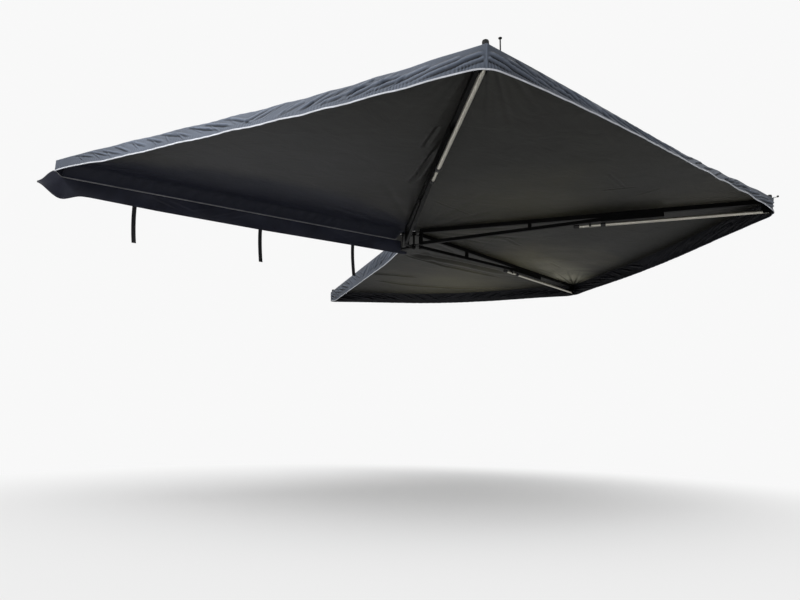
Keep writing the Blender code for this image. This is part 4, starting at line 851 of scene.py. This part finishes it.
def valance(panel):
    """Hanging edge of a panel, with its top turned in on the panel, and the piping along its hem."""
    across, places, outward, drops, lengths = border(panel)
    total = lengths[-1]
    corners = [0.0, lengths[EDGE_POINTS - 1]] + [total] * (panel == ARM_COUNT)
    hanging, outward = valance_points(panel, places, outward, drops, lengths, corners)
    turned_in = []
    for inset, rise in SEAM_TURN:
        row = places - outward * inset
        row[:, 2] += rise
        turned_in.append(row)
    points = np.concatenate([np.array(turned_in), hanging])
    down = np.concatenate([[-inset for inset, rise in SEAM_TURN], VALANCE_ROWS * VALANCE_DROP])
    uvs = np.stack(np.broadcast_arrays(lengths, down[:, None]), axis=-1)
    mesh = grid_mesh(f"valance_{panel}", points, uvs, flip=True)
    obj = new_piece(f"valance_{panel}", mesh, OUTER, INNER_HEM)
    thicken(obj, 0.9 * MM, -1.0, 1)
    follow(obj)
    path = points[-1] + outward * 1.6 * MM + np.array([0, 0, 2.6 * MM])
    profile = oval(3.4 * MM, 8.0 * MM)
    name = f"hem_piping_{panel}"
    piping = new_piece(name, sweep(name, path, outward, (0, 0, 1), profile), WHITE_PIPING)
    follow(piping)


def rail_band(share):
    """Rows of the first panel's band, from its edge in the rail's track up to the panel."""
    band = np.linspace(0, 1, 15)[:-1]
    edge = rail_edge(share)
    seam = flat_points(1, share, np.full(len(share), BAND_SEAM))
    way = (seam - edge)[:, None]
    points = edge[:, None] + way * band[:, None]
    points[..., 2] = edge[:, None, 2] + way[..., 2] * np.sin(band * pi / 2) ** 1.3
    at = share[:, None]
    ripple = np.sin(2 * pi * at * REACH / 0.083 + 4 * band + 2 * np.sin(at * 23))
    ripple += 0.6 * np.sin(2 * pi * at * REACH / 0.213 - 5 * band)
    calm = ease((at - 0.05) / 0.12) * ease((1 - at) / 0.06)
    points[..., 2] += 1.8 * MM * ripple * np.sin(pi * band) * calm
    return np.concatenate([points, seam[:, None]], axis=1)


def roof(panel):
    """Stretched sheet of one panel."""
    share = np.concatenate([np.linspace(HUB_HOLE, 0.055, 20), np.linspace(0.06, 1, 220)])
    across = np.linspace(0, 1, 221)
    s, t = np.meshgrid(share, across, indexing="ij")
    points = flat_points(panel, s, t)
    points[..., 2] += relief(panel, s, t)
    if panel == 1:
        band = rail_band(share)
        keep = across >= BAND_SEAM
        points = np.concatenate([band, points[:, keep]], axis=1)
    uvs = points[..., :2] - HUB_TOP[:2]
    mesh = grid_mesh(f"canopy_{panel}", points, uvs, flip=True)
    obj = new_piece(f"canopy_{panel}", mesh, OUTER, UNDERSIDES[panel])
    thicken(obj, CANOPY_THICK, -1.0, 1)
    follow(obj)
    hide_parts(f"canopy_panel_{panel}")


def rail_piping():
    """Grey piping of the canopy's edge, in the rail's track and up to the corner."""
    share = np.concatenate([np.linspace(0.0105, 0.1, 70), np.linspace(0.1, 0.95, 160)[1:],
                            np.linspace(0.95, 0.999, 50)[1:]])
    path = rail_edge(share) - np.array([0, 2.2 * MM, 2.5 * MM])
    along = np.gradient(path, axis=0)
    along /= np.linalg.norm(along, axis=1)[:, None]
    side = np.cross(along, [0, 0, 1.0])
    side /= np.linalg.norm(side, axis=1)[:, None]
    tube = sweep("rail_piping", path, side, np.cross(side, along), oval(4.5 * MM, 6.5 * MM))
    fasten(new_piece("rail_piping", tube, GREY_PIPING), "base")


TAPE_SECTION = ((-11, 0.1), (-10.2, 0.7), (-4, 0.9), (4, 0.9), (10.2, 0.7), (11, 0.1))  # across, rise, in mm
STITCH_ROWS = (-7.5 * MM, 7.5 * MM)
STITCH_PITCH = 4.8 * MM
STITCH_HALF = 1.6 * MM
THREAD_RADIUS = 0.35 * MM


def seam_tapes():
    """Tape over the seams that lie along the arms, with two rows of stitches."""
    for arm in (1, 2, 3):
        angle = corner_angle(arm)
        along, side = np.array(direction(angle)), np.array(left_of(angle))
        places = np.linspace(0.03, REACH - 0.004, 260)
        beside, rise = np.array(TAPE_SECTION).T * MM
        points = (HUB_TOP + along * places[:, None])[:, None] + side * beside[:, None]
        points[..., 2] += rise + 0.25 * MM * np.sin(places * 260)[:, None]
        name = f"seam_tape_{arm}"
        tape = new_piece(name, grid_mesh(name, points), SEAM_TAPE)
        thicken(tape, 0.6 * MM, 1.0)
        stitches = []
        for row in STITCH_ROWS:
            for place in np.arange(0.04, REACH - 0.01, STITCH_PITCH):
                middle = HUB_TOP + np.array([0, 0, 1.75 * MM]) + along * place + side * row
                path = np.array([middle - along * STITCH_HALF, middle, middle + along * STITCH_HALF])
                path[[0, 2], 2] -= THREAD_RADIUS
                stitches.append(path)
        name = f"seam_stitches_{arm}"
        threads = new_piece(name, stitch_mesh(name, stitches, side), THREAD)
        for piece in (tape, threads):
            fasten(piece, f"arm_{arm}")


def stitch_mesh(name, stitches, side):
    """Many short threads as one mesh, each a flat tube of four sides through three points."""
    turns = pi / 4 + np.arange(4)[:, None] * pi / 2
    ring = (side * np.cos(turns) + np.array([0, 0, 1]) * np.sin(turns)) * THREAD_RADIUS
    vertices = (np.array(stitches)[:, :, None] + ring).reshape(-1, 3)
    faces = []
    for base in range(0, len(vertices), 12):
        for first in (base, base + 4):
            for around in range(4):
                a, b = first + around, first + (around + 1) % 4
                faces.append((a, b, b + 4, a + 4))
    return flat_mesh(name, vertices, faces)


BAG_STATIONS = (
    # from the pivot, upper edge under the track, lower edge under the straps' tops, in mm
    (62, 0, 0), (500, 0, 0), (1200, 0, 6), (1900, 0, 2), (2300, 0, -8), (2360, 0, -6), (2407, 0, 16),
    (2433, 0, 28), (2459, 0, 35), (2490, -36, 24), (2527, -40, 0), (2545, 6, -17), (2567, 36, -33),
    (2591, 56, -44),
)
BAG_UNDER_HUB = np.linspace(6, 60, 14) * MM  # from the pivot
BAG_TOP_UNDER_HUB = 80 * MM  # under the track


def cover_bag():
    """Opened travel cover along the rail and under the hub, with the loose flap past the rail."""
    full = TRACK_Z - BAG_BOTTOM
    keys = [(s * MM, high * MM, full + low * MM) for s, high, low in BAG_STATIONS]
    s = np.linspace(keys[0][0], keys[-1][0], 420)
    edges = []
    for column in (1, 2):
        edge = np.interp(s, [key[0] for key in keys], [key[column] for key in keys])
        edges.append(np.convolve(np.pad(edge, 4, mode="edge"), np.ones(9) / 9, "valid"))
    s = np.concatenate([BAG_UNDER_HUB, s])
    high = np.concatenate([np.full(len(BAG_UNDER_HUB), BAG_TOP_UNDER_HUB), edges[0]])
    low = np.concatenate([full - 5 * MM * (1 - ease(BAG_UNDER_HUB / 0.05)), edges[1]])
    rows = np.linspace(0, 1, 22)
    share = rows[:, None]
    past = ease((s - 2.43) / 0.14)
    wave = 3.0 * MM * np.sin(2 * pi * s / 0.698) + 1.2 * MM * np.sin(2 * pi * s / 0.231 + 1)
    crease = creases(s - s[0], rows, [0.0, 1.1, 2.3], (), 77)
    bulge = np.sin(pi * share) * wave + 0.12 * crease * np.sin(pi * share)
    out = 18 * MM * past * (0.4 + share * 0.6)
    depth = TRACK_Z - 3 * MM - high - (low - high - 3 * MM) * share
    points = np.stack(np.broadcast_arrays(PIVOT.x - s, RAIL_FACE - 4.6 * MM - out - bulge, depth), axis=-1)
    uvs = np.stack(np.broadcast_arrays(s, share * full), axis=-1)
    mesh = grid_mesh("bag_cover", points, uvs)
    bag = new_piece("bag_cover", mesh, BAG)
    thicken(bag, 1.6 * MM, 0.0)
    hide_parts("cover_bag")
    fasten(bag, "base")
    extras = [bag_hem(points[-1]), bag_zip(points[-1])]


def bag_hem(edge):
    """Bound lower edge of the bag."""
    tube = sweep("bag_hem", edge, (0, 1, 0), (0, 0, 1), oval(3.2 * MM, 5.0 * MM), flip=True)
    return fasten(new_piece("bag_hem", tube, BAG), "base")


ZIP_PITCH = 3.2 * MM
BOX_FACES = ((0, 1, 3, 2), (4, 6, 7, 5), (0, 4, 5, 1), (2, 3, 7, 6), (0, 2, 6, 4), (1, 5, 7, 3))


def bag_zip(edge):
    """Row of zip teeth on the bag's inner side, along the lower edge."""
    lengths = lengths_along(edge)
    places = np.arange(0.01, lengths[-1] - 0.02, ZIP_PITCH)
    centres = np.stack([np.interp(places, lengths, edge[:, axis]) for axis in range(3)], axis=-1)
    centres += np.array([0, 1.6, 4.5]) * MM
    box = np.array([(x, y, z) for x in (-0.9, 0.9) for y in (-0.7, 0.9) for z in (-2.2, 2.2)]) * MM
    vertices = (centres[:, None] + box).reshape(-1, 3)
    faces = [tuple(base + i for i in face) for base in range(0, len(vertices), 8) for face in BOX_FACES]
    mesh = flat_mesh("bag_zip", vertices, faces)
    return fasten(new_piece("bag_zip", mesh, PLASTIC), "base")


def straps():
    """Closing straps of the bag: webbing that curls a little to one side."""
    curl = 18 * MM
    half = WEBBING_WIDTH / 2
    share, side = np.meshgrid(np.linspace(0, 1, 60), np.linspace(-1, 1, 9), indexing="ij")
    for number in (1, 2, 3):
        low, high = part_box(f"bag_strap_{number}")
        middle_x = high.x - curl - 13.5 * MM
        length = high.z - low.z
        points = np.stack([middle_x + curl * share * share + side * half,
                           RAIL_FACE - 4.2 * MM - 0.8 * MM * side * side * share
                           + 1.5 * MM * np.sin(5 * share + number) * share,
                           high.z - 0.4 * MM - share * (length - 1 * MM)], axis=-1)
        uvs = np.stack([side * half, share * length], axis=-1)
        mesh = grid_mesh(f"strap_webbing_{number}", points, uvs)
        strap = new_piece(f"strap_webbing_{number}", mesh, WEBBING)
        thicken(strap, 1.5 * MM, 0.0)
        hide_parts(f"bag_strap_{number}")
        fasten(strap, "base")


def turned(name, profile, centre, axis, material, segments=32):
    """Piece turned about an axis, from a profile of (radius, along) pairs in mm."""
    axis = Vector(axis).normalized()
    side = axis.orthogonal().normalized()
    up = axis.cross(side)
    angles = np.linspace(0, 2 * pi, segments, endpoint=False)
    rows = []
    for radius, along in (np.array(profile) * MM).tolist():
        middle = Vector(centre) + axis * along
        rows.append([np.array(middle + side * cos(a) * radius + up * sin(a) * radius) for a in angles])
    return new_piece(name, grid_mesh(name, np.array(rows), wrap=True, caps=True), material)


# Turned profiles, as (radius, along) in mm
TIP_CAP = ((12.6, -25.2), (14.9, -25.2), (15.6, -24.5), (15.6, -22.0), (14.6, -20), (14.6, -6), (13.4, -1.6),
           (10.5, 1.0), (6, 2.2), (0.3, 2.4))
PIN_SHAFT = ((0.3, 0), (3.4, 0), (3.4, 33), (3.9, 34), (0.3, 34))
PIN_HEAD = ((0.3, 33), (5.6, 33), (6.3, 35), (6.3, 42), (5.2, 44.5), (0.3, 45))
RIVET = ((4.6, 0), (4.6, 0.3), (3.8, 0.8), (2.2, 1.15), (0.2, 1.3))


def tip_details():
    """Rubber caps over the arms' nubs and a short pin at the second arm."""
    for arm in range(1, ARM_COUNT + 1):
        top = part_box(f"arm_{arm}_tip_bracket")[1].z
        cap = turned(f"tip_cap_{arm}", TIP_CAP, arm_point(arm, NUB_AT, 0, top), (0, 0, 1), RUBBER)
        fasten(cap, f"arm_{arm}")
    start = arm_point(2, TIP_PIN_AT, 2 * MM, CANOPY_Z + 3 * MM)
    aim = direction(arm_angle(2)) + Vector((0, 0, 0.28))
    fasten(turned("tip_pin_shaft", PIN_SHAFT, start, aim, ZINC), "arm_2")
    fasten(turned("tip_pin_head", PIN_HEAD, start, aim, RUBBER), "arm_2")


def rivets():
    """Domed rivet heads on both sides of each gusset."""
    for arm in range(1, ARM_COUNT + 1):
        outward = left_of(arm_angle(arm))
        for index, (along, z) in enumerate(RIVET_PLACES):
            for side, letter in ((-1, "r"), (1, "l")):
                place = arm_point(arm, along, side * GUSSET_HALF, z)
                head = turned(f"rivet_{arm}_{index}_{letter}", RIVET, place, outward * side, STEEL_BLACK, 20)
                fasten(head, f"arm_{arm}")


# Stage

CAMERA_PLACE = (-1.2495, -4.2148, -1.4620)
CAMERA_TURNS = (59.772, 11.549, 0.973)  # heading, pitch and roll, in degrees
CAMERA_LENS = 28.33
FLOOR_Z = -1.845
FLOOR_HALF = 90
BACKDROP = 0.94  # as the camera sees it
BACKDROP_LIGHT = 0.38
GLOW_AT = (-1.31, -2.25, 0)  # middle of the floor's dimmer part, from the floor's own middle


def look_from(position, turns, lens):
    """The scene's camera."""
    camera = put("camera", bpy.data.cameras.new("camera"))
    heading, pitch, roll = (radians(turn) for turn in turns)
    forward = Vector((cos(heading) * cos(pitch), sin(heading) * cos(pitch), sin(pitch)))
    camera.location = position
    camera.rotation_mode = "QUATERNION"
    camera.rotation_quaternion = forward.to_track_quat("-Z", "Y") @ Quaternion((0, 0, 1), roll)
    camera.data.lens = lens
    camera.data.sensor_width = 36
    camera.data.clip_end = 200
    camera.data.dof.use_dof = False
    bpy.context.scene.camera = camera


def area_light(name, location, target, size, power, spread=180):
    """Light from a rectangle that faces its target. The camera doesn't see it."""
    light = bpy.data.lights.new(name, "AREA")
    light.shape = "RECTANGLE"
    light.size, light.size_y = size
    light.energy = power
    light.spread = radians(spread)
    obj = put(name, light)
    obj.location = location
    obj.rotation_mode = "QUATERNION"
    obj.rotation_quaternion = (Vector(target) - Vector(location)).to_track_quat("-Z", "Y")
    obj.visible_camera = False


def studio():
    """White studio: bright backdrop, a floor that fades into it, and soft light from above."""
    bpy.context.scene.view_settings.view_transform = "Standard"
    world = bpy.data.worlds.new("studio")
    bpy.context.scene.world = world
    world.use_nodes = True
    tree = world.node_tree
    tree.nodes.clear()
    kinds = ("LightPath", "MapRange", "Background", "OutputWorld")
    rays, strength, background, output = (tree.nodes.new(f"ShaderNode{kind}") for kind in kinds)
    strength.inputs["To Min"].default_value = BACKDROP_LIGHT
    strength.inputs["To Max"].default_value = BACKDROP
    background.inputs["Color"].default_value = (1, 1, 1, 1)
    tree.links.new(rays.outputs["Is Camera Ray"], strength.inputs["Value"])
    tree.links.new(strength.outputs[0], background.inputs["Strength"])
    tree.links.new(background.outputs[0], output.inputs["Surface"])

    s = Shader("studio_floor")
    at = s.coords()
    far = s.add("VectorMath", {0: at}, operation="LENGTH").outputs["Value"]
    mottle = s.noise(at, 0.8, 4, 0.6)
    s.finish(colour=s.mix(mottle, (0.86, 0.86, 0.86), (0.90, 0.90, 0.90)), rough=0.55, specular=0.2)
    off = s.add("VectorMath", {0: at, 1: GLOW_AT}, operation="DISTANCE").outputs["Value"]
    glow = s.fade(off, 1.4, 4.8, 0.86, BACKDROP)
    white = s.add("Emission", {"Color": (1, 1, 1, 1), "Strength": glow})
    seen = s.add("LightPath").outputs["Is Camera Ray"]
    mixer = s.add("MixShader", {0: s.maths("MULTIPLY", s.fade(far, 0.2, 3.1, 0.22), seen),
                                         1: s.surface, 2: white})
    s.plug(mixer, s.output.inputs["Surface"])
    corners = np.array([[(-1, -1, 0), (1, -1, 0)], [(-1, 1, 0), (1, 1, 0)]], float) * FLOOR_HALF
    floor = new_piece("floor", grid_mesh("floor", corners), s.material)
    floor.location = (PIVOT.x - 0.3, PIVOT.y - 0.4, FLOOR_Z)
    area_light("key", (-4.4, -2.4, 2.2), (-0.68, -1.04, 0.0), (1.6, 1.2), 15, spread=46)
    area_light("top", (1.0, -0.8, 5.5), (1.0, -0.8, -1.8), (6.0, 5.0), 250)
    area_light("under", (-2.6, -3.6, -1.35), (1.2, -1.2, 0.05), (1.6, 0.8), 26)


look_from(CAMERA_PLACE, CAMERA_TURNS, CAMERA_LENS)
studio()
dress_frame()
for number in range(1, ARM_COUNT + 1):
    roof(number)
    valance(number)
rail_piping()
seam_tapes()
cover_bag()
straps()
tip_details()
rivets()
